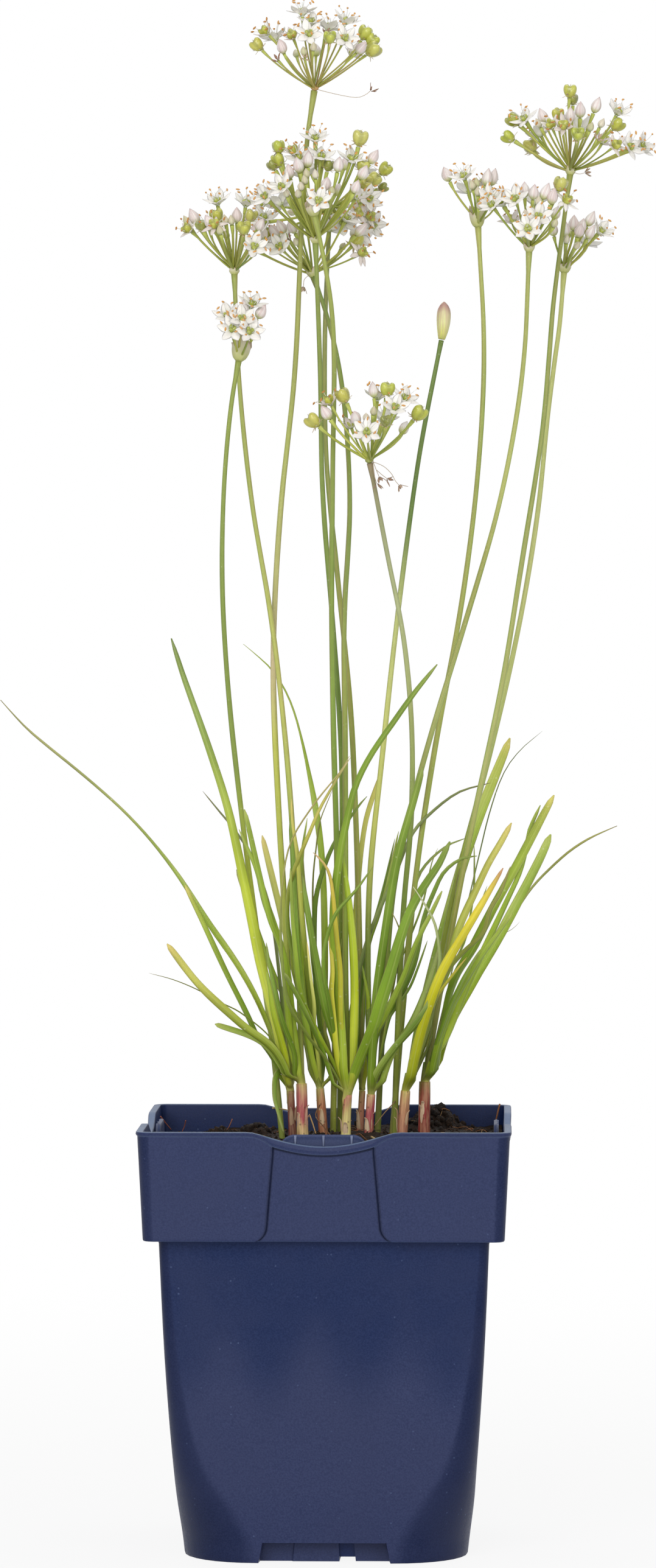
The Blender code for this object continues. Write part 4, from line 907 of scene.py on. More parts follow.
def make_soil_material():
    look = settings().soil_settings
    dark = mix(tuple(look.colour), (0, 0, 0), 0.5)
    n, shader = new_material("soil_peat", 0.95, Specular_IOR_Level=0.25)
    place = object_place(n)
    lumps = n.place("Mottle", Vector=place, Size=0.0028, Contrast=0.8).outputs[0]
    fine = n.noise(place, 1600.0, 4.0, 0.7)
    bits = n.place("Specks", Vector=place, Size=0.0009, Share=0.12).outputs[0]
    base = n.blend(lumps, (*dark, 1), (*mix(tuple(look.colour), rgb(70, 50, 36), 0.3), 1))
    base = n.blend(n.maths("MULTIPLY", n.span(fine, 0.5, 0.75), 0.5), base, (*rgb(62, 44, 32), 1))
    base = n.blend(n.maths("MULTIPLY", bits, 0.55), base, (*rgb(116, 78, 48), 1))
    n.link(base, shader.inputs["Base Color"])
    n.link(n.span(lumps, 0.2, 0.9, 0.8, 1.0), shader.inputs["Roughness"])
    raised(n, shader, n.maths("ADD", fine, lumps), 0.0006)


class FibrousSkin:
    """A material that takes its colour from the piece and draws fine fibres along it."""

    def __init__(self, name, roughness, count, stretch, depth, specular=0.3):
        n, self.shader = new_material(name, roughness, Specular_IOR_Level=specular)
        self.n = n
        self.flow = attribute(n, "flow").outputs["Vector"]
        tone = attribute(n, "tone").outputs["Color"]
        self.place = object_place(n)
        self.fibres = self.lines(count, stretch, 0.7)
        cloud = n.place("Mottle", Vector=self.place, Size=0.004, Contrast=0.5).outputs[0]
        darker = n.blend(1.0, tone, (*[depth] * 3, 1), "MULTIPLY")
        base = n.blend(self.fibres, darker, tone)
        soft = (*[1.0 - depth * 0.2] * 3, 1)
        self.base = n.blend(n.maths("MULTIPLY", cloud, 0.22), base, soft, "SOFT_LIGHT")
        n.link(n.span(self.fibres, 0, 1, roughness + 0.08, roughness - 0.06), self.shader.inputs["Roughness"])
        raised(n, self.shader, self.fibres, 0.00008, 0.5)
        n.link(self.base, self.shader.inputs["Base Color"])

    def lines(self, count, stretch, contrast):
        return self.n.place("Lengthwise Fibres", Flow=self.flow, Count=count, Stretch=stretch,
                            Contrast=contrast).outputs[0]

    def specks(self, size, share):
        return self.n.place("Specks", Vector=self.place, Size=size, Share=share).outputs[0]

    def lay_over(self, mask, strength, colour):
        """Lay a colour over the base where the mask says so."""
        self.base = self.n.blend(self.n.maths("MULTIPLY", mask, strength), self.base, (*colour, 1))
        self.n.link(self.base, self.shader.inputs["Base Color"])


def make_leaf_material():
    """Leaf skin with a pale spine, a thin dry rim and a few pale specks."""
    skin = FibrousSkin("leaf_skin", 0.42, 4.2, 0.02, 0.84)
    n = skin.n
    parts = n.add("ShaderNodeSeparateXYZ")
    n.link(skin.flow, parts.inputs[0])
    across = n.maths("ABSOLUTE", parts.outputs[0])
    skin.lay_over(n.span(across, 0.16, 0.0), 0.22, rgb(206, 214, 132))
    skin.lay_over(n.span(across, 0.93, 0.99), 0.7, settings().plant_settings.edge_colour)
    skin.lay_over(skin.specks(0.0013, 0.05), 0.25, rgb(225, 228, 190))


def make_plain_fibrous(name, roughness, count, stretch, depth):
    """Fibrous skin with a few pale specks, for stalks and straws."""
    skin = FibrousSkin(name, roughness, count, stretch, depth)
    skin.lay_over(skin.specks(0.0009, 0.08), 0.2, rgb(214, 214, 190))


def make_sheath_material():
    """Papery skin with coarse lengthwise streaks and brown flecks."""
    skin = FibrousSkin("sheath_skin", 0.5, 3.6, 0.09, 0.62)
    skin.lay_over(skin.lines(1.7, 0.12, 0.9), 0.2, rgb(232, 196, 150))
    skin.lay_over(skin.specks(0.0012, 0.16), 0.55, rgb(84, 54, 40))


def make_bud_material():
    """Pale skin with the rosy veins of the folded petals."""
    skin = FibrousSkin("bud_skin", 0.45, 3.4, 0.12, 0.86, 0.4)
    skin.lay_over(skin.lines(2.6, 0.05, 0.95), 0.3, rgb(200, 152, 152))


def make_fruit_material():
    n, shader = new_material("capsule_skin", 0.24, Specular_IOR_Level=0.5, Coat_Weight=0.25)
    shader.inputs["Coat Roughness"].default_value = 0.12
    flow = attribute(n, "flow").outputs["Vector"]
    tone = attribute(n, "tone").outputs["Color"]
    place = object_place(n)
    cloud = n.place("Mottle", Vector=place, Size=0.003, Contrast=0.6).outputs[0]
    veins = n.place("Lengthwise Fibres", Flow=flow, Count=3.0, Stretch=0.4, Contrast=0.6).outputs[0]
    base = n.blend(n.maths("MULTIPLY", cloud, 0.35), tone, (*rgb(214, 212, 120), 1))
    base = n.blend(n.maths("MULTIPLY", veins, 0.22), base, (*rgb(140, 150, 44), 1))
    n.link(base, shader.inputs["Base Color"])
    n.link(n.span(cloud, 0, 1, 0.2, 0.34), shader.inputs["Roughness"])
    raised(n, shader, cloud, 0.00003, 0.3)


def make_bract_material():
    """Thin membrane with veins, a little see-through between them."""
    skin = FibrousSkin("bract_membrane", 0.5, 3.0, 0.1, 0.8, 0.4)
    skin.n.link(skin.n.span(skin.fibres, 0, 1, 0.95, 0.78), skin.shader.inputs["Alpha"])


def materials():
    """The materials by name, made on first use."""
    if "pot_plastic" not in bpy.data.materials:
        make_groups()
        make_pot_material()
        make_soil_material()
        make_leaf_material()
        make_plain_fibrous("stalk_skin", 0.42, 3.0, 0.03, 0.82)
        make_plain_fibrous("straw_skin", 0.7, 2.0, 0.2, 0.6)
        make_sheath_material()
        FibrousSkin("petal_skin", 0.5, 2.6, 0.25, 0.97)
        make_bud_material()
        make_fruit_material()
        make_bract_material()
    return bpy.data.materials


# ---------------------------------------------------------------- the pot
def side_stations():
    """Stations across one side: (kind, share), from its left corner to the end of its right corner."""
    flat = (0.0, 0.2, 0.4, 0.58, 0.7, 0.78, 0.84, 0.89, 0.94, 0.98, 1.0)
    gap = 0.006
    inside = (-0.975, -0.86, -0.74, -0.62, PLATE_LEFT - gap, PLATE_LEFT + gap, -0.38, -0.26, -0.13, 0.0,
              0.12, SLOT_LEFT - gap, SLOT_LEFT + gap, 0.355, SLOT_RIGHT - gap, SLOT_RIGHT + gap, 0.6, 0.74,
              0.86, 0.975)
    stations = [("left", share) for share in flat]
    stations += [("inside", -1.0)] + [("inside", share) for share in inside] + [("inside", 1.0)]
    stations += [("right", share) for share in reversed(flat)]
    stations += [("corner", step / CORNER_STEPS) for step in range(1, CORNER_STEPS)]
    return stations


def station_x(kind, share, flat_end, edge):
    if kind == "inside":
        return share * (edge - STEP_WIDTH / 2)
    x = flat_end + (edge + STEP_WIDTH / 2 - flat_end) * share
    return -x if kind == "left" else x


def panel_edge(height):
    """Half width of the sunk panel, or of the notch below it."""
    if height > COLLAR_FOOT - 0.01:
        turn = clamp((COLLAR_FOOT + PANEL_FLARE_HEIGHT - height) / PANEL_FLARE_HEIGHT)
        return (PANEL_TOP_HALF + (PANEL_TOP - height) * PANEL_SPREAD
                + PANEL_FLARE * (1 - math.sqrt(1 - turn * turn)))
    low, high = NOTCH_HALVES
    return low + (high - low) * clamp(height / NOTCH_TOP)


def rim_height(x):
    inside = clamp(1 - (abs(x) / DIP_HALF) ** 2)
    return POT_HEIGHT - DIP_DEPTH * inside ** 1.3


def lip_height(x):
    return LIP_AT_SIDES + (LIP_IN_DIP - LIP_AT_SIDES) * smooth(19, 14, abs(x))


def body_half(height):
    return curve([(z, half) for z, half, _ in BODY_SECTIONS], height)


def body_radius(height):
    return curve([(z, radius) for z, _, radius in BODY_SECTIONS], height)


def collar_half(height):
    share = (height - COLLAR_FOOT) / (POT_HEIGHT - COLLAR_FOOT)
    return COLLAR_FOOT_HALF + (COLLAR_TOP_HALF - COLLAR_FOOT_HALF) * share


def collar_radius(height):
    share = (height - COLLAR_FOOT) / (POT_HEIGHT - COLLAR_FOOT)
    return COLLAR_RADII[0] + (COLLAR_RADII[1] - COLLAR_RADII[0]) * share


def pot_rows(wall):
    """Rows of the pot's skin: zone, height or share, and how far it stands out of that zone's face."""
    rows = [("body", 0.0, -0.5), ("body", 0.12, -0.16), ("body", 0.5, 0.0)]
    rows += [("body", z, 0.0)
             for z in (2, 4, SLOT_TOP - 0.1, SLOT_TOP + 0.1, NOTCH_TOP - 0.1, NOTCH_TOP + 0.1,
                       7, 9, 12, 15, 18)]
    rows += [("body", 19.7, 0.0), ("body", 20.1, -0.05)]
    rows += [("body", z, -0.05 * smooth(34, 20, z))
             for z in (22, 25, 28, 31, 35, 40, 46, 53, 61, 70, 80, 90, 95.4)]
    rows += [("body", 96.2, 0.18), ("body", COLLAR_FOOT, 0.6)]
    rows += [("foot", 0.0, -0.55), ("foot", 0.1, -0.18), ("foot", 0.4, -0.02), ("foot", 0.8, 0.0)]
    rows += [("foot", z, 0.0) for z in (1.5, 2.3, 3.1, 3.9, 4.7)]
    rows += [("collar", share, 0.0) for share in (0.1, 0.25, 0.42, 0.6, 0.78, 0.92, 0.965, 0.985)]
    stand = LIP_STAND_OUT
    rows += [("lip", 1.0, 0.02), ("lip", 0.95, stand * 0.7), ("lip", 0.84, stand), ("lip", 0.66, stand),
             ("lip", 0.58, stand + 0.1), ("lip", 0.48, stand + 0.1), ("lip", 0.40, stand),
             ("lip", 0.14, stand * 0.95), ("lip", 0.04, stand * 0.5), ("lip", 0.0, -0.1)]
    rows += [("lip", 0.0, 0.3 - COLLAR_WALL), ("lip", 0.1, 0.05 - COLLAR_WALL)]
    rows += [("lining", share, -COLLAR_WALL) for share in (0.0, 0.15, 0.35, 0.6, 0.85, 1.0)]
    rows += [("inside", COLLAR_FOOT + COLLAR_WALL, -wall)]
    rows += [("inside", z, -wall) for z in (95, 80, 61, 46, 35, 28, 22, 15, 9, NOTCH_TOP + wall + 0.1,
                                            NOTCH_TOP + wall - 0.1, SLOT_TOP + wall, 4, 1.2)]
    return rows


def sunk_depth(zone, height, x, edge, wall):
    """How far from the pot's middle the skin is held back here, or None where it isn't."""
    if abs(x) > edge:
        return None
    if zone == "body" and height < NOTCH_TOP:
        reach = edge - STEP_WIDTH / 2
        if SLOT_LEFT * reach < x < SLOT_RIGHT * reach and height < SLOT_TOP:
            return SLOT_BACK
        plate = PLATE_LEFT * reach < x < SLOT_LEFT * reach
        return NOTCH_BACK + (PLATE_STANDS_OUT if plate else 0.0)
    if zone == "inside" and height < NOTCH_TOP + wall:
        return NOTCH_BACK - wall
    return None


def pot_point(station, row, wall, panel_depth):
    """A point of the pot's skin on its front side."""
    kind, share = station
    zone, value, out = row
    x = None
    if zone in ("foot", "collar", "lip", "lining"):
        # The rim's height depends on x, and x a little on the height, so two passes settle both.
        height = COLLAR_FOOT + 1
        for _ in range(2):
            flat_end = collar_half(height) - collar_radius(height)
            edge = panel_edge(min(height, PANEL_TOP))
            x = station_x(kind, share, flat_end, edge) if kind != "corner" else flat_end
            rim, lip = rim_height(x), lip_height(x)
            low = COLLAR_FOOT + 5.2
            height = {
                "foot": COLLAR_FOOT + value,
                "collar": low + (rim - lip - low) * value,
                "lip": rim - lip * value,
                "lining": rim - 0.5 - (rim - 0.5 - COLLAR_FOOT - COLLAR_WALL) * value,
            }[zone]
        half, radius = collar_half(height) + out, collar_radius(height) + out
        if zone in ("foot", "collar") and kind == "inside":
            half -= panel_depth
        if zone == "lip" and kind == "inside" and value > 0.97:
            half -= panel_depth * 0.9
    else:
        height = value
        if kind != "corner" and height > 18:
            out = max(out, 0.0) if zone == "body" else out
        half = body_half(min(height, COLLAR_FOOT)) + out
        radius = body_radius(min(height, COLLAR_FOOT)) + out
        edge = panel_edge(min(height, COLLAR_FOOT - 1)) + (wall if zone == "inside" else 0.0)
        x = station_x(kind, share, half - radius, edge) if kind != "corner" else half - radius
    radius = max(radius, 0.5)
    if kind == "corner":
        angle = math.radians(-90 + 90 * share)
        middle = half - radius
        return Vector((middle + radius * math.cos(angle), -middle + radius * math.sin(angle), height))
    held = sunk_depth(zone, height, x, edge, wall)
    return Vector((x, -(held if held else half), height))


def pot_tone(station, row, point):
    """Colour of the plastic with light and shade painted in: a paler, greyer painted sheen of reflected light
    over the outside, strongest low on the body; painted shade under the collar, round the corners and under the
    lip in the dips; painted highlights on the edges of the rim and the foot of the collar.
    """
    kind, share = station
    zone, value, _ = row
    tone = tuple(settings().pot_settings.colour)
    # The colours that follow stand in for light: a painted shade, a painted sheen of reflected light and a
    # painted highlight; the last one is a darker painted shade and shadow.
    deep, painted_sheen, worn = rgb(12, 34, 76), rgb(50, 58, 92), rgb(150, 172, 205)
    shade = rgb(2, 10, 34)
    at_seam = kind in ("left", "right") and share == 1.0 or kind == "inside" and abs(share) == 1.0
    seam = 0.7 if at_seam else 0.0
    # Painted shade round the corners, deepest in the middle of each bend.
    bend = smooth(0.0, 0.16, share) * smooth(1.0, 0.84, share) if kind == "corner" else 0.0
    if zone == "body":
        # Painted shade under the collar, reaching down to a wavy line, above a painted sheen lower on the body.
        fingers = 60 + 6 * math.cos(2 * math.pi * (point.x + 2.6) / 27)
        tone = mix(mix(tone, painted_sheen, 0.85), deep, 0.92 * smooth(fingers - 16, fingers + 12, point.z))
        return mix(tone, rgb(4, 22, 60), 0.8 * bend)
    if zone in ("lining", "inside"):
        return mix(tone, rgb(0, 30, 82), 0.7)
    if zone == "lip":
        # Painted highlights along the top and bottom edges of the lip; in the dips, a painted shadow under it.
        top = smooth(0.16, 0.0, value) if value < 0.2 else 0.3 * smooth(0.8, 0.95, value)
        tone = mix(mix(tone, painted_sheen, 0.6), worn, 0.5 * top)
        return mix(tone, shade, 0.8) if value > 0.99 and kind == "inside" else tone
    # A painted highlight along the foot of the collar.
    if zone == "foot" and value < 0.3:
        return mix(tone, worn, 0.10)
    # Painted shadow under the lip in the dips.
    if zone == "collar" and value > 0.98 and kind == "inside":
        return mix(tone, shade, 0.85)
    # The collar: painted sheen, painted shade round the corners and darker lines at the panel edges.
    return mix(mix(mix(tone, painted_sheen, 0.75), rgb(4, 22, 60), 0.7 * bend), shade, seam)


def make_pot():
    look = settings().pot_settings
    wall, panel_depth = look.wall / MM, look.panel_depth / MM
    stations = side_stations()
    rows = pot_rows(wall)
    turns = [Matrix.Rotation(math.radians(90 * side), 3, "Z") for side in range(4)]

    def place(column, row):
        side, station = divmod(column % (4 * len(stations)), len(stations))
        point = pot_point(stations[station], rows[row], wall, panel_depth)
        return turns[side] @ point, (0, 0, 0), pot_tone(stations[station], rows[row], point)
    bm = grid_skin(4 * len(stations), len(rows) - 1, place)
    open_edges = [edge for edge in bm.edges if edge.is_boundary]
    bmesh.ops.holes_fill(bm, edges=open_edges)
    new_piece("pot_shell", bm, materials()["pot_plastic"], ["pot"], sharp=28)


def rounded_box(low, high, colour, edge, taper=None):
    """A box between two corners with rounded edges, for ribs and webs."""
    bm = bmesh.new()
    tone = bm.verts.layers.float_color.new("tone")
    for vert in bmesh.ops.create_cube(bm, size=1.0)["verts"]:
        vert[tone] = (*colour, 1.0)
    size = Vector(high) - Vector(low)
    bmesh.ops.scale(bm, vec=size, verts=bm.verts)
    bmesh.ops.translate(bm, vec=(Vector(high) + Vector(low)) / 2, verts=bm.verts)
    if taper:
        taper(bm)
    bmesh.ops.bevel(bm, geom=bm.edges[:], offset=edge, segments=2, profile=0.5, affect="EDGES", material=-1)
    return to_mesh(bm)


def label_pocket(wall):
    """The plate of a label pocket with its ribs and side webs, on the front side."""
    across = [-LABEL_HALF, 0.3 - LABEL_HALF, 0.7 - LABEL_HALF, 1.1 - LABEL_HALF, -11, -10, -9, -6, -3, 0]
    across += [-x for x in reversed(across[:-1])]
    colour = mix(tuple(settings().pot_settings.colour), rgb(120, 130, 160), 0.2)
    up = [LABEL_FOOT, 112, 118, 122]
    up += [LABEL_TOP - drop for drop in (4.6, 3.6, 2.6, 1.8, 1.1, 0.75, 0.4, 0.0)]

    def place(column, row):
        x, z = across[column], up[row]
        past = max(abs(x) - (LABEL_HALF - LABEL_CORNER), 0.0)
        drop = LABEL_CORNER - math.sqrt(max(LABEL_CORNER ** 2 - past ** 2, 0.0))
        z -= drop * smooth(LABEL_FOOT, LABEL_TOP, z) ** 2
        inset = min(LABEL_HALF - abs(x), LABEL_TOP - up[row])
        ridge = 0.16 * smooth(0.2, 0.35, inset) * smooth(1.15, 0.8, inset)
        return Vector((x, -LABEL_FACE - ridge, z)), (0, 0, 0), colour
    plate = grid_skin(len(across) - 1, len(up) - 1, place)
    bmesh.ops.recalc_face_normals(plate, faces=plate.faces)
    bmesh.ops.solidify(plate, geom=plate.faces[:], thickness=wall)
    parts = [to_mesh(plate)]
    for x in LABEL_RIBS:
        def narrow_foot(bm, middle=x):
            for vert in bm.verts:
                if vert.co.z < LABEL_TOP - 2:
                    vert.co.x = middle + (vert.co.x - middle) * 0.5
        # The ribs are drawn paler: a painted highlight along them.
        parts.append(rounded_box((x - 0.38, -LABEL_FACE - 0.55, LABEL_TOP - 3.4),
                                 (x + 0.38, -LABEL_FACE + 0.3, LABEL_TOP - 0.25),
                                 mix(colour, rgb(170, 180, 206), 0.5), 0.1, narrow_foot))
    for side in (-1, 1):
        x = side * (LABEL_HALF - wall / 2)
        parts.append(rounded_box((x - wall / 2, -WEB_BACK, LABEL_FOOT),
                                 (x + wall / 2, -LABEL_FACE + 0.3, LABEL_TOP - LABEL_CORNER), colour, 0.12))
    return parts


def make_labels():
    wall = settings().pot_settings.wall / MM
    parts = []
    for side in range(4):
        turn = Matrix.Rotation(math.radians(90 * side), 4, "Z")
        for mesh in label_pocket(wall):
            mesh.transform(turn)
            parts.append(mesh)
    new_piece("label_pockets", join(parts), materials()["pot_plastic"], ["pot"], sharp=35)


# ---------------------------------------------------------------- the soil
def ripple(x, y, size, seed):
    """A smooth random height: a few sine waves with their own directions and starts."""
    rng = random.Random(seed)
    total = 0.0
    for octave in range(4):
        angle, start = rng.uniform(0, math.pi), rng.uniform(0, 7)
        step = 2 * math.pi * (1.6 ** octave) / size
        total += math.sin((x * math.cos(angle) + y * math.sin(angle)) * step + start) / (1.35 ** octave)
    return total / 2.4


def soil_height(x, y):
    level = SOIL_LEVEL + 0.03 * min(x, 12)
    for (mx, my), height, spread in HEAPS:
        level += height * math.exp(-(((x - mx) ** 2 + (y - my) ** 2) / (spread * spread)) ** 2.2)
    level += 0.5 * ripple(x, y, 17, 3) + 0.28 * ripple(x + 5, y - 3, 6.1, 8) + 0.16 * ripple(y, x, 2.6, 11)
    return level


def soil_reach(along):
    """How far out the soil comes, which is less behind the label plates."""
    return LABEL_FACE - 1.5 if abs(along) < LABEL_HALF + 0.6 else SOIL_HALF


def soil_point(u, v):
    """A point of the soil from its shares (-1 to 1) across the pot."""
    x = u * soil_reach(v * SOIL_HALF)
    y = v * soil_reach(u * SOIL_HALF)
    return x, y


def make_soil():
    def place(column, row):
        x, y = soil_point(2 * column / SOIL_STEPS - 1, 2 * row / SOIL_STEPS - 1)
        return Vector((x, y, soil_height(x, y))), (0, 0, 0), (1, 1, 1)
    bm = grid_skin(SOIL_STEPS, SOIL_STEPS, place)
    rim = [edge for edge in bm.edges if edge.is_boundary]
    grown = bmesh.ops.extrude_edge_only(bm, edges=rim)["geom"]
    for vert in grown:
        if isinstance(vert, bmesh.types.BMVert):
            vert.co = Vector((vert.co.x * 0.96, vert.co.y * 0.96, SOIL_FOOT))
    bmesh.ops.holes_fill(bm, edges=[edge for edge in bm.edges if edge.is_boundary])
    new_piece("soil_bed", bm, materials()["soil_peat"], ["soil"])


def crumb(rng):
    bm = bmesh.new()
    bmesh.ops.create_icosphere(bm, subdivisions=1, radius=1.0)
    for vert in bm.verts:
        vert.co *= rng.uniform(0.7, 1.25)
    return to_mesh(bm)


def random_turn(rng):
    angles = [rng.uniform(0, 2 * math.pi) for _ in range(3)]
    return (Matrix.Rotation(angles[0], 4, "X") @ Matrix.Rotation(angles[1], 4, "Y")
            @ Matrix.Rotation(angles[2], 4, "Z"))


def make_crumbs():
    rng = random.Random(CRUMB_SEED)
    shapes = [crumb(rng) for _ in range(6)]
    parts = []
    for number in range(settings().soil_settings.crumbs):
        x, y = soil_point(rng.uniform(-0.97, 0.97), rng.uniform(-0.97, 0.97))
        size = 0.28 + 1.0 * rng.random() ** 3
        if number % 5 == 0:
            (mx, my), _, spread = HEAPS[rng.choice((0, 0, 0, 1, 5, 6))]
            x = clamp(rng.gauss(mx, spread * 0.6), -50, 50)
            y = clamp(rng.gauss(my, spread * 0.6), -50, 50)
            size = rng.uniform(0.5, 1.5)
        mesh = rng.choice(shapes).copy()
        squash = Matrix.Diagonal((rng.uniform(0.7, 1.4), rng.uniform(0.7, 1.2), rng.uniform(0.5, 0.9), 1))
        mesh.transform(Matrix.Translation((x, y, soil_height(x, y) + size * 0.25))
                       @ random_turn(rng) @ squash @ Matrix.Scale(size, 4))
        parts.append(mesh)
    for shape in shapes:
        bpy.data.meshes.remove(shape)
    new_piece("soil_crumbs", join(parts), materials()["soil_peat"], ["soil"])


def thread(points, radius, colour, sides=5, steps=12, tip=0.5):
    """A thin round strand through a few points."""
    path = resample(points, steps)
    frames = carried_frames(path, (0.31, 0.52, 0.79))
    tones = colour if isinstance(colour, list) else [(0, colour), (1, colour)]
    section = round_section(lambda share: radius * (1 - (1 - tip) * share))
    return swept(path, frames, sides, section, graded(tones))


# Straws and stray roots: radius, colour and points.
STRAWS = [
    (0.35, rgb(206, 176, 128), [(13.4, -13, 124.4), (14.6, -16, 124.0), (15.8, -20, 123.6)]),
    (0.25, rgb(190, 150, 100), [(-5.2, -10, 130.5), (-4.2, -12, 128), (-3.3, -14, 125.4)]),
    (0.22, rgb(150, 120, 84), [(20.4, 8, 134), (19.6, 4, 133), (17, 0, 130.5), (14.2, -4, 127)]),
    (0.3, rgb(160, 104, 66), [(51.9, 30, 131), (51.0, 32, 127), (50.2, 34, 123.6)]),
    (0.22, rgb(150, 84, 64), [(-51.7, 20, 127.8), (-50.2, 22, 125.6), (-48.6, 24, 123.4)]),
    (0.2, rgb(132, 76, 60), [(-44.0, 20, 126.6), (-44.4, 21, 124.8), (-45.2, 21, 123)]),
    (0.2, rgb(150, 96, 72), [(-29.8, 21, 127), (-30.6, 21, 125), (-31.6, 22, 123.4)]),
    (0.4, rgb(120, 150, 60), [(15.2, -20, 124.2), (18.5, -22, 124.6), (22, -24, 124.2)]),
    (0.3, rgb(196, 168, 120), [(-16.5, -8, 132.6), (-14, -6, 132.2), (-11.8, -3.6, 131.6)]),
    (0.25, rgb(120, 84, 58), [(-2.4, -2, 133), (-3.6, -5, 130), (-1, -9, 127), (1.6, -12, 124)]),
]


def make_fibres():
    rng = random.Random(FIBRE_SEED)
    browns = [rgb(104, 66, 40), rgb(140, 92, 54), rgb(178, 140, 92), rgb(70, 46, 32), rgb(120, 74, 42)]
    parts = [thread(points, radius, colour, tip=0.6) for radius, colour, points in STRAWS]
    for _ in range(settings().soil_settings.fibres):
        x, y = soil_point(rng.uniform(-0.93, 0.93), rng.uniform(-0.93, 0.93))
        heading, length = rng.uniform(0, 2 * math.pi), rng.uniform(3, 9)
        points = []
        for step in range(4):
            lift = 0.3 + (0.9 * rng.random() if step in (1, 2) else 0.0)
            points.append((x, y, soil_height(x, y) + lift))
            heading += rng.uniform(-0.7, 0.7)
            x = clamp(x + math.cos(heading) * length / 3, -48, 48)
            y = clamp(y + math.sin(heading) * length / 3, -48, 48)
        parts.append(thread(points, rng.uniform(0.07, 0.2), rng.choice(browns), sides=4, steps=7))
    new_piece("soil_fibres", join(parts), materials()["straw_skin"], ["soil"])


# ---------------------------------------------------------------- sheaths
def shoot_axis(name):
    return packed_stem(f"sheath_{name}", 8)


def make_sheath(number, name):
    """One sheath with its torn layers, and the green core of the shoot in its mouth."""
    line, radii = shoot_axis(name)
    mouth = radii[-1][1]
    rng = random.Random(SHEATH_SEED + number)
    path = resample(line, SHEATH_STEPS)
    tones = SHEATH_TONES[name]
    starts = [rng.uniform(0, 6.3) for _ in range(3)]

    def section(share, angle):
        radius = between(radii, share) * (1 + 0.06 * smooth(0.0, 0.3, share))
        ridges = 0.045 * math.sin(3 * angle + starts[0]) + 0.03 * math.sin(7 * angle + starts[1])
        radius *= 1 + ridges + 0.04 * math.sin(9 * share + starts[2])
        return radius * math.cos(angle), radius * math.sin(angle)

    def colour(share, angle, distance):
        height = path[0].z + distance - SOIL_LEVEL
        shift = 1.4 * math.sin(2 * angle + starts[0]) + 0.8 * math.sin(5 * angle + starts[2])
        return between(tones, height + shift)
    skin = swept(path, carried_frames(path, FRONT), 24, section, colour)
    parts = [skin, *sheath_flaps(name, path, mouth, rng)]
    new_piece(f"sheath_{name}_skin", join(parts), materials()["sheath_skin"], [f"sheath_{name}"])
    core_path = resample([path[-4], path[-1], path[-1] + (path[-1] - path[-4]) * 2.2], 10)
    top_tone = between(tones, 20)
    core = swept(core_path, carried_frames(core_path, FRONT), 14,
                 round_section(lambda share: mouth * (0.96 - 0.6 * share ** 1.5)),
                 lambda share, angle, distance: mix(top_tone, rgb(140, 164, 74), share))
    new_piece(f"shoot_{name}_core", join([core]), materials()["stalk_skin"], [f"sheath_{name}"])


def make_sheaths():
    for number, name in enumerate(SHOOTS):
        make_sheath(number, name)


def sheath_flaps(name, path, radius, rng):
    """Torn, dry layers that stand a little off the sheath near its mouth."""
    flaps = []
    for _ in range(3):
        side = rng.uniform(0, 2 * math.pi)
        out = Vector((math.cos(side), math.sin(side), 0))
        low = int(len(path) * rng.uniform(0.45, 0.6))
        rise = rng.uniform(3.5, 6.5)
        foot = path[low] + out * (radius * 1.02)
        top = foot + Vector((0, 0, rise)) + out * rng.uniform(0.1, 0.5)
        curl = top + Vector((0, 0, rng.uniform(0.6, 1.4))) + out * rng.uniform(0.4, 1.1)
        line = resample([foot, (foot + top) / 2 + out * 0.08, top, curl], 12)
        half = rng.uniform(0.7, 1.1)
        pale = mix(between(SHEATH_TONES[name], 12), rgb(226, 206, 172), rng.uniform(0.3, 0.8))
        flaps.append(swept(
            line, carried_frames(line, out), 10,
            blade_section(lambda share, h=half: h * (1 - 0.75 * share ** 3), 0.16, lambda share: 0.8),
            plain(pale)))
    return flaps


# ---------------------------------------------------------------- leaves
FOOT_LENGTH = 10.0               # of the pale foot of a leaf
TIP_LENGTH = 6.0                 # of its paler tip


def leaf_skin(path, frames, width, form, tones, rng, foot_tone):
    """A leaf along a path, wrapped round its shoot at the foot and shallow further up."""
    length = sum((b - a).length for a, b in zip(path, path[1:]))
    thick = settings().plant_settings.leaf_thickness / MM
    shape = LEAF_FORMS[form]
    start = rng.uniform(0, 6)
    lit = rng.choice((-1, 1)) * rng.uniform(0.5, 1.0)
    body = [(0.0, tones[1]), (0.45, tones[2]), (0.8, tones[3]), (1.0, mix(tones[3], tones[4], 0.5))]

    def half_at(share):
        return width / 2 * between(shape, share) * (1 + 0.03 * math.sin(19 * share + start))

    def wrap_at(share):
        return 0.5 + 0.8 * smooth(12 / length, 2 / length, share)

    def colour(share, angle, distance):
        tone = between(body, share)
        # Painted light and shade: one side of the blade, picked at random for each leaf, is drawn lighter and
        # the other darker, the inner face lighter than the outer, changing slowly along the length.
        side = lit * math.cos(angle) + 0.3 * math.sin(2.3 * distance / 11 + start) - 0.35 * math.sin(angle)
        tone = mix(tone, (0.90, 0.90, 0.36), 0.2 * smooth(0, 1, side))
        tone = mix(tone, (0.05, 0.10, 0.0), 0.32 * smooth(0, -1, side))
        tone = mix(foot_tone, tone, smooth(0, FOOT_LENGTH, distance))
        return mix(tone, tones[4], smooth(TIP_LENGTH, 0.5, length - distance) * 0.9)
    return swept(path, frames, 14, blade_section(half_at, thick, wrap_at, 0.12), colour)


def shoot_of(point, axes):
    """The shoot whose top is nearest to a leaf's foot."""
    return min(axes, key=lambda name: (axes[name][0][-1] - point).length)


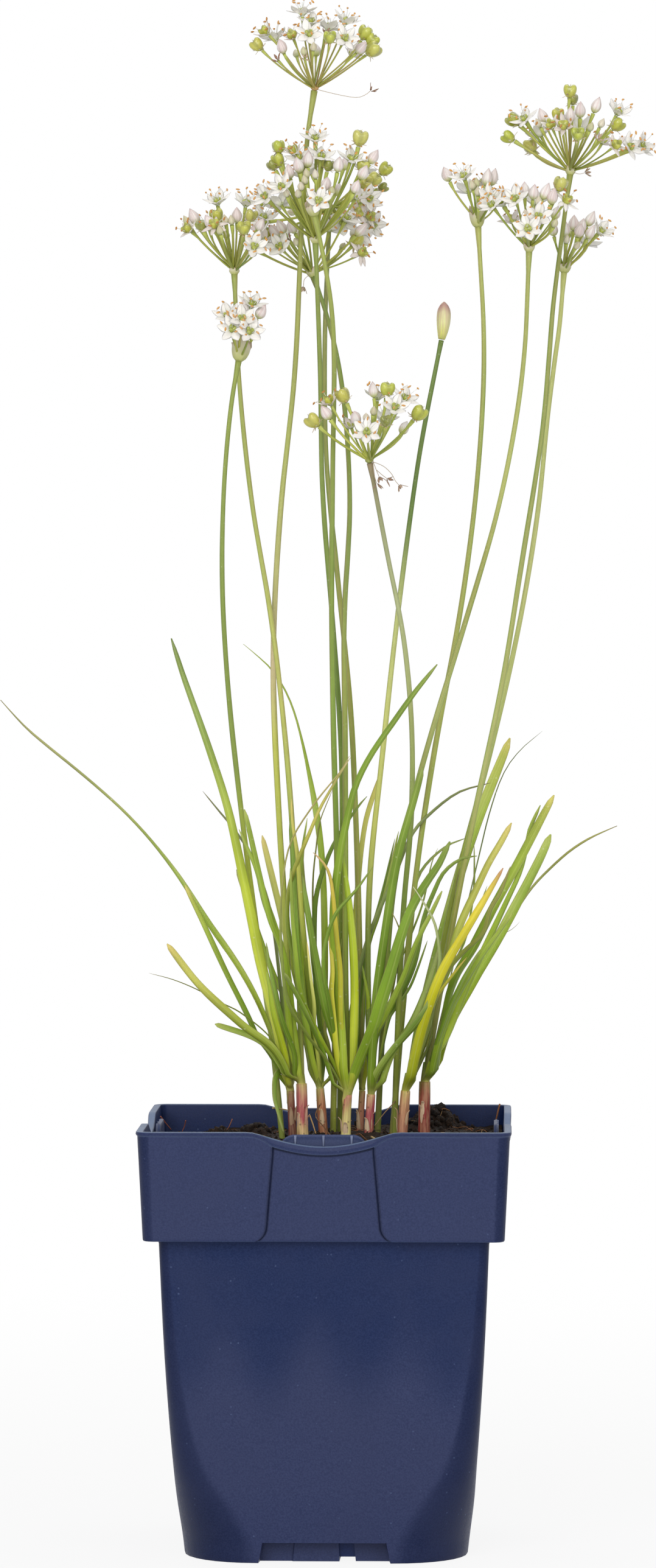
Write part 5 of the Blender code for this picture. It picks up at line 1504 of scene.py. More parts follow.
def rooted(top, radius, out):
    """The first points of a leaf, inside the mouth of its sheath."""
    return [top + out * radius * 0.3 - Vector((0, 0, 4)), top + out * radius * 0.7 + Vector((0, 0, 0.5))]


def level_out(point, top):
    out = point - top
    out.z = 0
    return out.normalized() if out.length > 0.2 else Vector((0, -1, 0))


def nudged(path, nudges):
    """A path moved sideways in the upright plane across the pot, by (share, millimetres) steps."""
    if not nudges:
        return path
    table = [(0.0, 0.0), *nudges] if nudges[0][0] > 0 else nudges
    last = len(path) - 1
    moved = []
    for k, (point, along) in enumerate(zip(path, directions(path))):
        right = Vector((along.z, 0, -along.x)).normalized()
        moved.append(point + right * curve(table, k / last))
    return moved


def foot_colour(tones, shoot):
    """The pale colour of a leaf where it leaves its sheath."""
    return mix(tones[0], between(SHEATH_TONES[shoot], 15), 0.45)


def make_leaf(number, low, high, form, width, nudges, axes):
    """A leaf along a packed one: colours of its lower and upper part, form, width and nudges."""
    node = f"leaf_{number:02d}"
    rings = axis_rings(node, 4)
    line = centre_line(rings)
    across = blade_axes(rings)
    shoot = shoot_of(line[0], axes)
    axis_line, radii = axes[shoot]
    top = axis_line[-1]
    out = level_out(line[0], top)
    upper = nudged(resample(line, UPPER_STEPS), nudges)
    upper = [point for point in upper if point.z > top.z + 2.5]
    path = resample([*rooted(top, radii[-1][1], out), *upper], LEAF_STEPS)
    turned = [across[0]] + across
    frames = []
    for k, along in enumerate(directions(path)):
        place = k / LEAF_STEPS * (len(turned) - 1)
        j = min(int(place), len(turned) - 2)
        wide = turned[j].lerp(turned[j + 1], place - j)
        wide = (wide - along * wide.dot(along)).normalized()
        frames.append((wide, along.cross(wide)))
    if frames[0][1].dot(out) < 0:
        frames = [(-wide, -outward) for wide, outward in frames]
    rng = random.Random(LEAF_SEED + number)
    below, above = LEAF_TONES[low], LEAF_TONES[high]
    tones = (*below[:2], mix(below[2], above[2], 0.5), *above[3:])
    skin = leaf_skin(path, frames, width, form, tones, rng, foot_colour(tones, shoot))
    new_piece(f"{node}_blade", join([skin]), materials()["leaf_skin"], [node])


def make_leaves():
    axes = {name: shoot_axis(name) for name in SHOOTS}
    for number, row in enumerate(PACKED_LEAVES, 1):
        make_leaf(number, *row, axes)


def small_leaf(number, shoot, width, colour, points, axes):
    """A small leaf from the mouth of its shoot; its face turns to the front over the lower half."""
    line, radii = axes[shoot]
    top = line[-1]
    out = level_out(Vector(points[0]), top)
    path = resample([*rooted(top, radii[-1][1], out), *points], SMALL_LEAF_STEPS)
    form = {"strand": "whip", "hairy": "hair"}.get(colour, "blade" if width < 2.5 else "long")
    face = (out + Vector((0.0, -0.7, 0.25))).normalized()
    frames = []
    for k, (low, high) in enumerate(zip(carried_frames(path, out), carried_frames(path, face))):
        share = smooth(0.05, 0.5, k / SMALL_LEAF_STEPS)
        frames.append([a.lerp(b, share).normalized() for a, b in zip(low, high)])
    tones = LEAF_TONES[colour]
    return leaf_skin(path, frames, width, form, tones, random.Random(SMALL_LEAF_SEED + number),
                     foot_colour(tones, shoot))


def make_small_leaves():
    axes = {name: shoot_axis(name) for name in SHOOTS}
    parts = {name: [] for name in SHOOTS}
    for number, (shoot, *row) in enumerate(SMALL_LEAVES):
        parts[shoot].append(small_leaf(number, shoot, *row, axes))
    for shoot, skins in parts.items():
        if skins:
            new_piece(f"small_leaves_{shoot}", join(skins), materials()["leaf_skin"])


# ---------------------------------------------------------------- flower stalks
def stalk_axis(number):
    """Centre line of a packed stalk, ended at the foot of its head, and the table of its radii."""
    line, radii = packed_stem(f"scape_{number:02d}", 6)
    line[-1] -= (line[-1] - line[-2]).normalized() * HEAD_DROP.get(number, (0, 0))[0]
    return line, radii


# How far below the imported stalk's end a head's foot lies, and how much nearer to it the blossoms stand.
HEAD_DROP = {1: (1.5, .3), 2: (1.1, .2), 3: (1.1, .2), 4: (1.1, .2), 5: (1.1, .2), 6: (1.2, .6), 7: (.9, 1.3),
             8: (.9, 0), 10: (.5, 1.5), 11: (.9, 0), 12: (1.5, 0), 13: (.5, -.4)}

# How far a stalk lies beside its packed line, in the same form as for the leaves.
STALK_NUDGES = {12: [(.7, 0), (.8, -.5), (.86, -.8), (1, 0)], 13: [(.8, 0), (.9, .4), (.94, .6), (1, 0)]}

# Colour of the stalks along their length, from foot to head, in their order.
STALK_TONES = [
    stops((0, (160, 170, 76)), (.2, (186, 194, 86)), (.35, (196, 200, 92)), (.43, (216, 196, 156)),
          (.5, (188, 184, 122)), (.65, (178, 186, 104)), (.8, (168, 172, 94)), (1, (162, 168, 88))),
    stops((0, (140, 150, 62)), (.2, (132, 150, 56)), (.35, (106, 134, 46)), (.5, (104, 132, 56)),
          (.65, (130, 150, 72)), (1, (134, 150, 78))),
    stops((0, (130, 140, 54)), (.2, (178, 182, 84)), (.35, (154, 170, 70)), (.5, (158, 164, 76)),
          (.65, (126, 146, 66)), (1, (136, 150, 84))),
    stops((0, (142, 148, 62)), (.2, (142, 166, 58)), (.35, (142, 158, 68)), (.5, (160, 170, 84)),
          (.65, (130, 150, 76)), (.8, (116, 138, 56)), (1, (118, 140, 70))),
    stops((0, (128, 140, 58)), (.2, (172, 180, 66)), (.35, (118, 146, 52)), (.5, (138, 162, 72)),
          (.65, (132, 152, 72)), (.8, (138, 154, 76)), (1, (162, 172, 90))),
    stops((0, (140, 150, 64)), (.2, (146, 168, 54)), (.35, (176, 186, 90)), (.5, (188, 190, 102)),
          (.65, (174, 184, 98)), (1, (160, 170, 90))),
    stops((0, (130, 144, 64)), (.2, (168, 180, 84)), (.35, (184, 196, 68)), (.5, (126, 148, 68)),
          (1, (148, 162, 82))),
    stops((0, (130, 136, 60)), (.2, (148, 162, 66)), (.35, (112, 138, 52)), (.5, (128, 148, 72)),
          (.65, (170, 178, 110)), (.8, (178, 186, 134)), (.93, (150, 154, 118)), (1, (140, 120, 100))),
    stops((0, (124, 140, 60)), (.2, (120, 140, 54)), (.35, (198, 202, 102)), (.5, (200, 204, 120)),
          (.65, (182, 190, 118)), (.76, (106, 132, 64)), (1, (86, 116, 56))),
    stops((0, (130, 140, 60)), (.2, (150, 164, 66)), (.35, (162, 176, 80)), (.5, (174, 182, 94)),
          (.8, (150, 166, 86)), (1, (186, 192, 108))),
    stops((0, (122, 132, 60)), (.2, (108, 138, 42)), (.35, (134, 150, 66)), (.5, (172, 186, 108)),
          (.65, (150, 162, 84)), (.75, (182, 194, 112)), (1, (166, 178, 98))),
    stops((0, (122, 132, 60)), (.2, (152, 162, 66)), (.35, (178, 190, 112)), (.5, (166, 180, 100)),
          (.7, (138, 160, 82)), (1, (150, 162, 78))),
    stops((0, (126, 132, 60)), (.2, (138, 150, 42)), (.35, (146, 164, 64)), (.5, (190, 200, 118)),
          (.65, (202, 206, 130)), (.8, (196, 202, 126)), (1, (202, 206, 128))),
]




def make_stalk(number):
    line, radii = stalk_axis(number)
    path = nudged(resample(line, STALK_STEPS), STALK_NUDGES.get(number, []))
    start = random.Random(STALK_SEED + number).uniform(0, 6)
    fullness = 1.14 if number == 1 else 1.06
    swell = 0.35 if number != 9 else 0.15
    tones = STALK_TONES[number - 1]

    def section(share, angle):
        radius = between(radii, share) * fullness * (1 + 0.03 * math.sin(31 * share + start))
        radius *= 1 + 0.025 * math.cos(2 * angle + start) + 0.02 * math.cos(5 * angle)
        radius += swell * smooth(0.975, 1.0, share)
        return radius * math.cos(angle), radius * math.sin(angle)

    def colour(share, angle, distance):
        tone = mix(between(tones, share), rgb(196, 196, 96), 0.12 * (1 + math.sin(9 * share + start)) / 2)
        return mix(tone, rgb(176, 156, 104), 0.35 * smooth(0.75, 1.0, math.cos(angle - start)))
    skin = swept(path, carried_frames(path, FRONT), 14, section, colour)
    node = f"scape_{number:02d}"
    new_piece(f"{node}_stalk", join([skin]), materials()["stalk_skin"], [node])


def make_stalks():
    for number in range(1, len(STALK_TONES) + 1):
        make_stalk(number)


def make_closed_bud():
    line = centre_line(stacked_rings("closed_bud", 8))
    path = resample(line, 32)[:-2]
    last = len(path) - 1
    path = [point - Vector((1.5 * (k / last) ** 1.6, 0, 0)) for k, point in enumerate(path)]
    table = [(0, 1.0), (0.08, 1.25), (0.3, 1.8), (0.55, 2.1), (0.76, 1.95), (0.88, 1.4), (0.96, 0.7),
             (1, 0.14)]
    tones = stops((0, (176, 186, 84)), (0.12, (212, 216, 108)), (0.4, (226, 226, 156)),
                  (0.68, (216, 206, 156)), (0.82, (196, 164, 144)), (0.94, (176, 130, 122)),
                  (1, (206, 190, 150)))

    def section(share, angle):
        radius = curve(table, share) * (1 + 0.04 * math.cos(3 * angle + 1) + 0.015 * math.cos(11 * angle))
        return radius * math.cos(angle), radius * math.sin(angle)
    skin = swept(path, carried_frames(path, FRONT), 28, section,
                 lambda share, angle, distance: between(tones, share + 0.05 * math.sin(3 * angle)))
    new_piece("closed_bud_skin", join([skin]), materials()["bud_skin"], ["closed_bud"])


# ---------------------------------------------------------------- blossoms, each along +Z from its foot
def arc_path(points_rz, around):
    """A path in an upright half plane through the axis: (out, up) points turned round the axis."""
    out = Vector((math.cos(around), math.sin(around), 0))
    return [out * r + Vector((0, 0, z)) for r, z in points_rz]


def tepal(around, length, width, opening, lift, colour, base_colour, rng, curl=0.0, steps=8):
    """One petal: a pointed, cupped blade that leaves the flower's foot and opens outwards."""
    points, r, z = [], 0.35, lift
    bend = opening + rng.uniform(-6, 6)
    for step in range(steps + 1):
        share = step / steps
        tilt = math.radians(30 + (bend - 30) * smooth(0, 0.45, share) + curl * share ** 2)
        points.append((r, z))
        r += math.sin(tilt) * length / steps
        z += math.cos(tilt) * length / steps
    path = arc_path(points, around)
    side = Vector((-math.sin(around), math.cos(around), 0))
    frames = [(side, along.cross(side)) for along in directions(path)]
    shape = [(0, .26), (.12, .5), (.3, .86), (.46, 1), (.64, .93), (.8, .66), (.92, .32), (1, .05)]

    def section(share, angle):
        half = width / 2 * between(shape, share)
        s = math.cos(angle)
        cup = 0.26 * half * s * s
        return half * s, -0.07 * math.sin(angle) - cup

    def tone(share, angle, distance):
        return mix(base_colour, colour, smooth(0.0, 0.3, share))
    return swept(path, frames, 8, section, tone)


def stamen(around, length, tilt, lift, filament, anther, rng):
    """A thread with its anther across the top."""
    tilt = math.radians(tilt + rng.uniform(-7, 7))
    end = (0.4 + math.sin(tilt) * length, lift + math.cos(tilt) * length)
    middle = (0.4 + math.sin(tilt) * length * 0.42, lift + length * 0.5)
    path = resample(arc_path([(0.4, lift), middle, end], around), 4)
    parts = [swept(path, carried_frames(path, (0.3, 0.2, 0.9)), 4,
                   round_section(lambda share: 0.12 - 0.05 * share), plain(filament))]
    top = path[-1]
    lean = Vector((rng.uniform(-1, 1), rng.uniform(-1, 1), rng.uniform(-0.3, 0.6))).normalized() * 0.62
    body = resample([top - lean, top, top + lean], 4)
    parts.append(swept(body, carried_frames(body, (0.3, 0.9, 0.2)), 5,
                       round_section(lambda share: 0.12 + 0.2 * math.sin(math.pi * share)), plain(anther)))
    return parts


def lobed_body(radius, height, lobes, dip, lift, colour, low_colour, columns=15, rows=9):
    """A three-lobed ovary or capsule with a dip on top."""
    side = [(0, 0), (.1, .36), (.25, .7), (.42, .92), (.58, 1), (.72, .95), (.84, .76), (.93, .44), (1, 0)]
    rise = [(0, 0), (.1, .04), (.25, .2), (.42, .44), (.58, .68), (.72, .87), (.84, .98), (.93, 1),
            (1, 1 - dip)]

    def shape(share, angle):
        lobe = math.cos(3 * angle)
        crest = lobe * smooth(0.05, 0.6, share)
        out = radius * curve(side, share) * (1 + lobes * crest) if 0 < share < 1 else 0.0
        up = height * curve(rise, share)
        up += 0.08 * height * crest * smooth(0.5, 0.85, share) * smooth(1, 0.9, share)
        tone = mix(low_colour, colour, smooth(0.05, 0.5, share))
        # Painted shade: darker in the grooves between the lobes and towards the dip on top.
        tone = mix(tone, (0.04, 0.05, 0.008), 0.42 * smooth(-0.3, -1, lobe) * smooth(0.1, 0.5, share))
        return out, up, mix(tone, (0.05, 0.06, 0.01), 0.5 * smooth(0.84, 1, share))
    return to_mesh(lathe(columns, rows, shape, lift))


def egg(length, radius, tip, tones, ribs, columns=14, rows=10):
    """A bud: an egg with a small point, ribbed by its folded petals."""
    def shape(share, angle):
        swell = math.sin(math.pi * share ** 0.82) ** 0.8 if 0 < share < 1 else 0.0
        out = radius * swell * (1 + ribs * math.cos(6 * angle) * smooth(0.2, 0.6, share))
        return out, length * share + tip * smooth(0.85, 1, share), between(tones, share)
    return to_mesh(lathe(columns, rows, shape))


def open_flower(rng):
    look = settings().flower_settings
    length, width = look.tepal_length / MM, look.tepal_width / MM
    white, anther = tuple(look.petal_colour), tuple(look.anther_colour)
    green = tuple(look.fruit_colour)
    opening = rng.uniform(54, 78)
    petals = []
    for k in range(6):
        outer = k % 2 == 0
        petals.append(tepal(
            math.radians(60 * k + rng.uniform(-5, 5)), length * rng.uniform(0.93, 1.04),
            width * (0.94 if outer else 1.06), opening + (5 if outer else -3), 0.2 if outer else 0.42,
            mix(white, rgb(234, 230, 222), rng.uniform(0, 0.5)), rgb(216, 224, 178), rng,
            curl=rng.uniform(-14, 16)))
    for k in range(6):
        tone = mix(anther, rgb(214, 168, 120), rng.random() * 0.7)
        petals += stamen(math.radians(60 * k + rng.uniform(-8, 8)), rng.uniform(4.2, 5.4), 34, 0.7,
                         rgb(236, 236, 228), tone, rng)
    petals.append(thread([(0, 0, 2.4), (0.1, 0, 3.4), (0.2, 0.1, 4.4)], 0.14, rgb(232, 234, 220), 4, 3))
    ovary = lobed_body(1.15, 2.1, 0.16, 0.18, 0.45, mix(green, rgb(120, 150, 60), 0.5), rgb(150, 170, 90))
    return {"petal": petals, "fruit": [ovary]}


def spent_flower(rng):
    """Petals that have folded up and narrowed round a swelling green ovary."""
    look = settings().flower_settings
    length, width = look.tepal_length / MM * 0.92, look.tepal_width / MM * 0.6
    worn = mix(tuple(look.petal_colour), rgb(222, 204, 196), rng.uniform(0.1, 0.8))
    opening = rng.uniform(30, 100)
    petals = []
    for k in range(6):
        petals.append(tepal(
            math.radians(60 * k + rng.uniform(-12, 12)), length * rng.uniform(0.75, 1.05), width,
            opening + rng.uniform(-18, 18), 0.2, worn, rgb(190, 196, 150), rng, curl=rng.uniform(-30, 40)))
    for k in range(5):
        petals += stamen(math.radians(72 * k + rng.uniform(-15, 15)), rng.uniform(3.4, 4.8),
                         rng.uniform(20, 55), 0.6, rgb(230, 226, 210),
                         mix(tuple(look.anther_colour), rgb(150, 96, 60), 0.5), rng)
    ovary = lobed_body(1.5, 2.9, 0.16, 0.2, 0.4, tuple(look.fruit_colour), rgb(150, 166, 80))
    return {"petal": petals, "fruit": [ovary]}


def fruit(rng, size=1.0, dark=0.0):
    """A seed capsule with the dry remains of the petals under it."""
    look = settings().flower_settings
    other = rng.choice((rgb(150, 156, 46), rgb(206, 200, 118), rgb(202, 186, 96), rgb(176, 190, 60)))
    tone = mix(mix(tuple(look.fruit_colour), other, rng.uniform(0.1, 0.8)), rgb(84, 96, 40), dark)
    size *= rng.uniform(0.78, 1.02)
    pale = mix(tone, rgb(170, 170, 90), 0.4)
    body = lobed_body(2.35 * size, 4.5 * size, 0.11, 0.3, 0.2, tone, pale, 21, 12)
    dry = []
    for k in range(6):
        dry.append(tepal(
            math.radians(60 * k + rng.uniform(-15, 15)), rng.uniform(2.4, 3.6) * size, 0.9 * size,
            rng.uniform(55, 120), 0.1, mix(rgb(226, 216, 190), rgb(196, 168, 130), rng.random()),
            rgb(190, 190, 140), rng, curl=rng.uniform(-40, 30), steps=5))
    style = [(0, 0, 3.4 * size), (0.15, 0, 4.4 * size), (0.1, 0.2, 5.4 * size)]
    dry.append(thread(style, 0.12, rgb(200, 190, 150), 4, 3))
    return {"fruit": [body], "petal": dry}


def bud(rng, small=False):
    look = settings().flower_settings
    pale = mix(tuple(look.petal_colour), rgb(226, 210, 206), rng.uniform(0.15, 0.7))
    tip = mix(pale, rgb(196, 158, 150), 0.5)
    tones = [(0, rgb(172, 190, 84)), (0.16, rgb(206, 214, 142)), (0.36, pale), (0.85, pale), (1, tip)]
    if small:
        green = mix(rgb(204, 210, 156), rgb(236, 232, 210), rng.random())
        tones = [(0, rgb(150, 172, 92)), (0.4, green), (1, mix(green, rgb(190, 170, 140), 0.3))]
    length, radius = (3.2, 1.05) if small else (rng.uniform(4.6, 5.5), rng.uniform(1.45, 1.7))
    return {"bud": [egg(length, radius, 0.25, tones, 0.05)]}


def withered(rng):
    """A small brown flower that never set seed."""
    brown = mix(rgb(150, 112, 90), rgb(200, 176, 150), rng.random())
    parts = [tepal(math.radians(72 * k + rng.uniform(-25, 25)), rng.uniform(1.4, 2.6), 0.8,
                   rng.uniform(10, 70), 0.0, brown, mix(brown, rgb(90, 66, 50), 0.5), rng,
                   curl=rng.uniform(-50, 50), steps=5)
             for k in range(5)]
    return {"petal": parts}


MAKERS = {
    OPEN: (open_flower, 1.1), SPENT: (spent_flower, 1.4), WITHERED: (withered, 0.8),
    BUD: (bud, 2.3), SMALL_BUD: (lambda rng: bud(rng, small=True), 1.5), FRUIT: (fruit, 2.3),
    DARK_FRUIT: (lambda rng: fruit(rng, 0.72, 0.75), 1.7),
}
FINISH_OF = {"petal": ("petal_skin", "flower"), "fruit": ("capsule_skin", "bud"), "bud": ("bud_skin", "bud"),
             "ray": ("stalk_skin", "scape"), "bract": ("bract_membrane", "bud")}


def ray(start, end, leave, arrive, radius, green, rng):
    """The thin stalk of one blossom, which leaves the head low and curves up to the blossom."""
    reach = (end - start).length
    first = start + leave * reach * 0.36
    second = end - arrive * reach * 0.3
    points = []
    for step in range(11):
        t = step / 10
        points.append(start * (1 - t) ** 3 + first * 3 * t * (1 - t) ** 2
                      + second * 3 * t * t * (1 - t) + end * t ** 3)
    pale = mix(green, rgb(226, 226, 120), 0.5)
    tones = [(0, mix(green, pale, rng.random() * 0.5)), (0.7, mix(green, pale, rng.random() * 0.8)),
             (1, rgb(190, 200, 100))]
    frames = carried_frames(points, (0.3, 0.5, 0.8))
    return swept(points, frames, 6, round_section(lambda share: radius * (1 + 0.9 * smooth(0.78, 1, share))),
                 graded(tones))


def bract(foot, up, height, half, rng):
    """The papery bract at the foot of a head: a thin open cup, split and torn along its edge."""
    flare = [(0, 0.9 / half), (0.15, 0.72), (0.45, 0.96), (0.8, 1.04), (1, 0.98 + rng.uniform(0, 0.16))]
    tones = stops((0, (198, 204, 116)), (0.3, (216, 216, 148)), (0.8, (232, 224, 196)), (1, (216, 190, 168)))
    start = rng.uniform(0, 6)

    def shape(share, angle):
        torn = 0.22 * math.cos(2 * angle + start) + 0.07 * math.sin(7 * angle + start) - 0.1
        radius = half * curve(flare, share) * (1 + 0.06 * math.sin(5 * angle + start))
        return radius, height * share * (1 + torn * share), between(tones, share)
    cup = lathe(24, 8, shape)
    bmesh.ops.recalc_face_normals(cup, faces=cup.faces)
    bmesh.ops.solidify(cup, geom=cup.faces[:], thickness=0.09)
    mesh = to_mesh(cup)
    mesh.transform(set_on(foot, up))
    return [mesh]


# How far a head has aged, from 0 to 1, which turns its rays from green to tan.
HEAD_AGE = {1: 0.85, 12: 0.65, 6: 0.4, 8: 0.1}

# Dead flowers on limp threads, by head: points beside, in front of and above the foot of the rays.
DRY_THREADS = {
    1: [[(0, 0, 0), (4.6, 1.5, -1.3), (9, 2, -2.3), (12.9, 2, -2.8), (15.4, 1.6, -1.9), (16.9, 1.5, -.7)]],
    8: [[(1, .5, 0), (2.0, 1.8, -2.6), (2.9, 2, -4.8)], [(1, .5, -.5), (1.4, 1.6, -4), (2.2, 2, -6.8)],
        [(2, 1, -2.6), (3.6, 1.6, -4.0), (5.3, 2, -5.3)],
        [(.5, 1, 0), (4.2, 2, -1.6), (6.6, 2, -3.9), (7.6, 2, -5.8), (8.8, 2, -7.2)]],
    12: [[(0, 0.5, 0), (2.5, 1.2, -1.0), (4.4, 1.5, -.6)]],
    4: [[(0, .5, 0), (-2.2, 1.4, -1.8), (-2.6, 1.5, -4.2)]],
}


def dry_threads(number, foot, rng):
    parts = []
    for points in DRY_THREADS.get(number, []):
        line = [foot + Vector((beside, -forward, above)) for beside, forward, above in points]
        parts.append(thread(line, 0.11, rgb(196, 176, 150), 4, 14, tip=0.9))
        for mesh in withered(rng)["petal"]:
            mesh.transform(set_on(line[-1], (line[-1] - line[-2]).normalized()))
            parts.append(mesh)
    return parts


HEAD_LIFT = 0.6                  # from the stalk's end to the middle that the rays grow from
YOUNG_AGE = 0.25                 # of the heads that HEAD_AGE doesn't name


def add_blossom(parts, blossom, foot, up, reach, lower, number, age, rng):
    """Add one blossom with its ray to the parts of its head."""
    kind, beside, above, forward = blossom
    above -= lower
    room = math.sqrt(max(reach * reach - beside * beside - above * above, 0.0))
    offset = Vector((beside, -forward * room, above))
    away = offset.normalized()
    facing = away + up * 0.25 + Vector([rng.uniform(-0.16, 0.16) for _ in range(3)])
    if kind in (OPEN, SPENT):
        facing += Vector((0, -0.45, -0.1)) if forward > -0.5 else Vector((0, -0.1, 0.35))
    facing.normalize()
    maker, to_middle = MAKERS[kind]
    base = foot + offset - facing * to_middle
    move = set_on(base, facing) @ Matrix.Rotation(rng.uniform(0, 2 * math.pi), 4, "Z")
    for finish, meshes in maker(rng).items():
        for mesh in meshes:
            mesh.transform(move)
            parts[finish].append(mesh)
    leave = (away - up * 0.16).normalized()
    start = foot + Vector([rng.uniform(-0.35, 0.35) for _ in range(3)])
    thinned = 0.8 if kind in (WITHERED, SPENT) or number == 1 else rng.uniform(0.9, 1.25)
    radius = settings().flower_settings.ray_radius / MM * thinned
    green = mix(rgb(122, 146, 46), rgb(184, 188, 78), rng.random() ** 1.3)
    green = mix(green, rgb(176, 144, 92), rng.random() * age)
    parts["ray"].append(ray(start, base, leave, facing, radius, green, rng))


def make_head(number):
    reach, blossoms = HEADS[number]
    line, _ = stalk_axis(number)
    up = (line[-1] - line[-2]).normalized()
    foot = line[-1] + up * HEAD_LIFT
    rng = random.Random(HEAD_SEED + number)
    parts = {kind: [] for kind in FINISH_OF}
    age = HEAD_AGE.get(number, YOUNG_AGE)
    hub = mix(rgb(170, 174, 96), rgb(214, 160, 112), age)
    knob = egg(2.2, 1.25, 0.0, [(0, mix(rgb(140, 156, 84), hub, age)), (1, hub)], 0.1)
    knob.transform(set_on(foot - up * 0.7, up))
    parts["ray"].append(knob)
    for blossom in blossoms:
        add_blossom(parts, blossom, foot, up, reach, HEAD_DROP[number][1], number, age, rng)
    if number in BRACTS:
        parts["bract"] += bract(foot - up * 1.2, up, *BRACTS[number], rng)
    parts["petal"] += dry_threads(number, foot, rng)
    node = f"flower_head_{number:02d}"
    for kind, meshes in parts.items():
        if meshes:
            material, slot = FINISH_OF[kind]
            new_piece(f"head_{number:02d}_{kind}", join(meshes), materials()[material], [node])


def make_heads():
    for number in HEADS:
        make_head(number)


# ---------------------------------------------------------------- the stage
def seen_straight(n):
    """Where a ray comes straight from the camera, from a reflection or through something."""
    paths = n.add("ShaderNodeLightPath")
    seen = n.maths("MAXIMUM", paths.outputs["Is Camera Ray"], paths.outputs["Is Glossy Ray"])
    return n.maths("MAXIMUM", seen, paths.outputs["Is Transmission Ray"])


def mixed_with_white(n, kind, share, shading):
    """Mix a shading with plain white light from a node of this kind."""
    white = n.add(kind)
    white.inputs["Color"].default_value = (1, 1, 1, 1)
    white.inputs["Strength"].default_value = 1.0
    both = n.add("ShaderNodeMixShader")
    n.link(share, both.inputs[0])
    n.link(shading, both.inputs[1])
    n.link(white.outputs[0], both.inputs[2])
    return both.outputs[0]


def make_floor(look):
    bm = bmesh.new()
    bmesh.ops.create_grid(bm, x_segments=1, y_segments=1, size=30.0)
    mesh = bpy.data.meshes.new("floor")
    bm.to_mesh(mesh)
    bm.free()
    material = bpy.data.materials.new("pale_floor")
    material.use_nodes = True
    n = Nodes(material.node_tree)
    shader = n.tree.nodes["Principled BSDF"]
    shader.inputs["Base Color"].default_value = (*look.floor_colour, 1)
    shader.inputs["Roughness"].default_value = 0.9
    reach = n.add("ShaderNodeVectorMath", operation="LENGTH")
    n.link(object_place(n), reach.inputs[0])
    far = n.span(reach.outputs["Value"], 0.06, 0.8, 0.88, 1.0)
    end = n.tree.nodes["Material Output"]
    share = n.maths("MULTIPLY", seen_straight(n), far)
    n.link(mixed_with_white(n, "ShaderNodeEmission", share, shader.outputs[0]), end.inputs["Surface"])
    mesh.materials.append(material)
    floor = bpy.data.objects.new("floor", mesh)
    bpy.context.scene.collection.objects.link(floor)


def make_world(look):
    world = bpy.data.worlds.new("studio")
    world.use_nodes = True
    bpy.context.scene.world = world
    n = Nodes(world.node_tree)
    light = n.tree.nodes["Background"]
    light.inputs["Color"].default_value = (1, 1, 1, 1)
    light.inputs["Strength"].default_value = look.sky
    shading = mixed_with_white(n, "ShaderNodeBackground", seen_straight(n), light.outputs[0])
    n.link(shading, n.tree.nodes["World Output"].inputs["Surface"])


def add_lamp(name, place, target, size, power):
    data = bpy.data.lights.new(name, "AREA")
    data.shape = "RECTANGLE"
    data.size, data.size_y = size
    data.energy = power
    lamp = bpy.data.objects.new(name, data)
    lamp.location = place
    lamp.rotation_euler = (Vector(target) - Vector(place)).to_track_quat("-Z", "Y").to_euler()
    lamp.visible_camera = False
    bpy.context.scene.collection.objects.link(lamp)


def make_camera():
    data = bpy.data.cameras.new("camera")
    data.sensor_fit = "VERTICAL"
    data.sensor_height = SENSOR_HEIGHT
    data.sensor_width = SENSOR_HEIGHT
    data.lens = LENS
    camera = bpy.data.objects.new("camera", data)
    turn = math.radians(CAMERA_TURN)
    camera.location = Vector((CAMERA_DISTANCE * math.sin(turn), -CAMERA_DISTANCE * math.cos(turn),
                              CAMERA_HEIGHT)) * MM
    camera.rotation_euler = (math.radians(90 - CAMERA_PITCH), 0, turn)
    bpy.context.scene.collection.objects.link(camera)
    bpy.context.scene.camera = camera


def make_stage():
    look = settings().stage_settings
    make_floor(look)
    make_world(look)
    add_lamp("main_lamp", (-0.75, -2.2, 1.3), (0, 0, 0.22), (1.3, 1.3), look.key_power)
    add_lamp("fill_lamp", (1.4, -1.9, 0.9), (0, 0, 0.22), (1.3, 1.3), look.fill_power)
    add_lamp("top_lamp", (0.1, 0.5, 1.9), (0, 0, 0.2), (1.6, 1.2), look.top_power)
    add_lamp("low_lamp", (0.0, -2.3, 0.3), (0, 0, 0.1), (1.0, 0.5), look.low_power)
    make_camera()
    bpy.context.scene.view_settings.view_transform = "Standard"


# ---------------------------------------------------------------- operators, panel and main
class CHIVES_OT_pot(bpy.types.Operator):
    """Build the pot's shell with its collar, sunk panels, notches and rim"""
    bl_idname = "chives.pot"
    bl_label = "Pot"

    def execute(self, context):
        make_pot()
        return {"FINISHED"}


class CHIVES_OT_labels(bpy.types.Operator):
    """Build the four label pockets behind the dips of the rim"""
    bl_idname = "chives.labels"
    bl_label = "Label Pockets"

    def execute(self, context):
        make_labels()
        return {"FINISHED"}


class CHIVES_OT_soil(bpy.types.Operator):
    """Build the soil with its loose crumbs, straws and fibres"""
    bl_idname = "chives.soil"
    bl_label = "Soil"

    def execute(self, context):
        make_soil()
        make_crumbs()
        make_fibres()
        return {"FINISHED"}


class CHIVES_OT_sheaths(bpy.types.Operator):
    """Build the sheaths at the foot of the shoots, with their torn layers"""
    bl_idname = "chives.sheaths"
    bl_label = "Sheaths"

    def execute(self, context):
        make_sheaths()
        return {"FINISHED"}


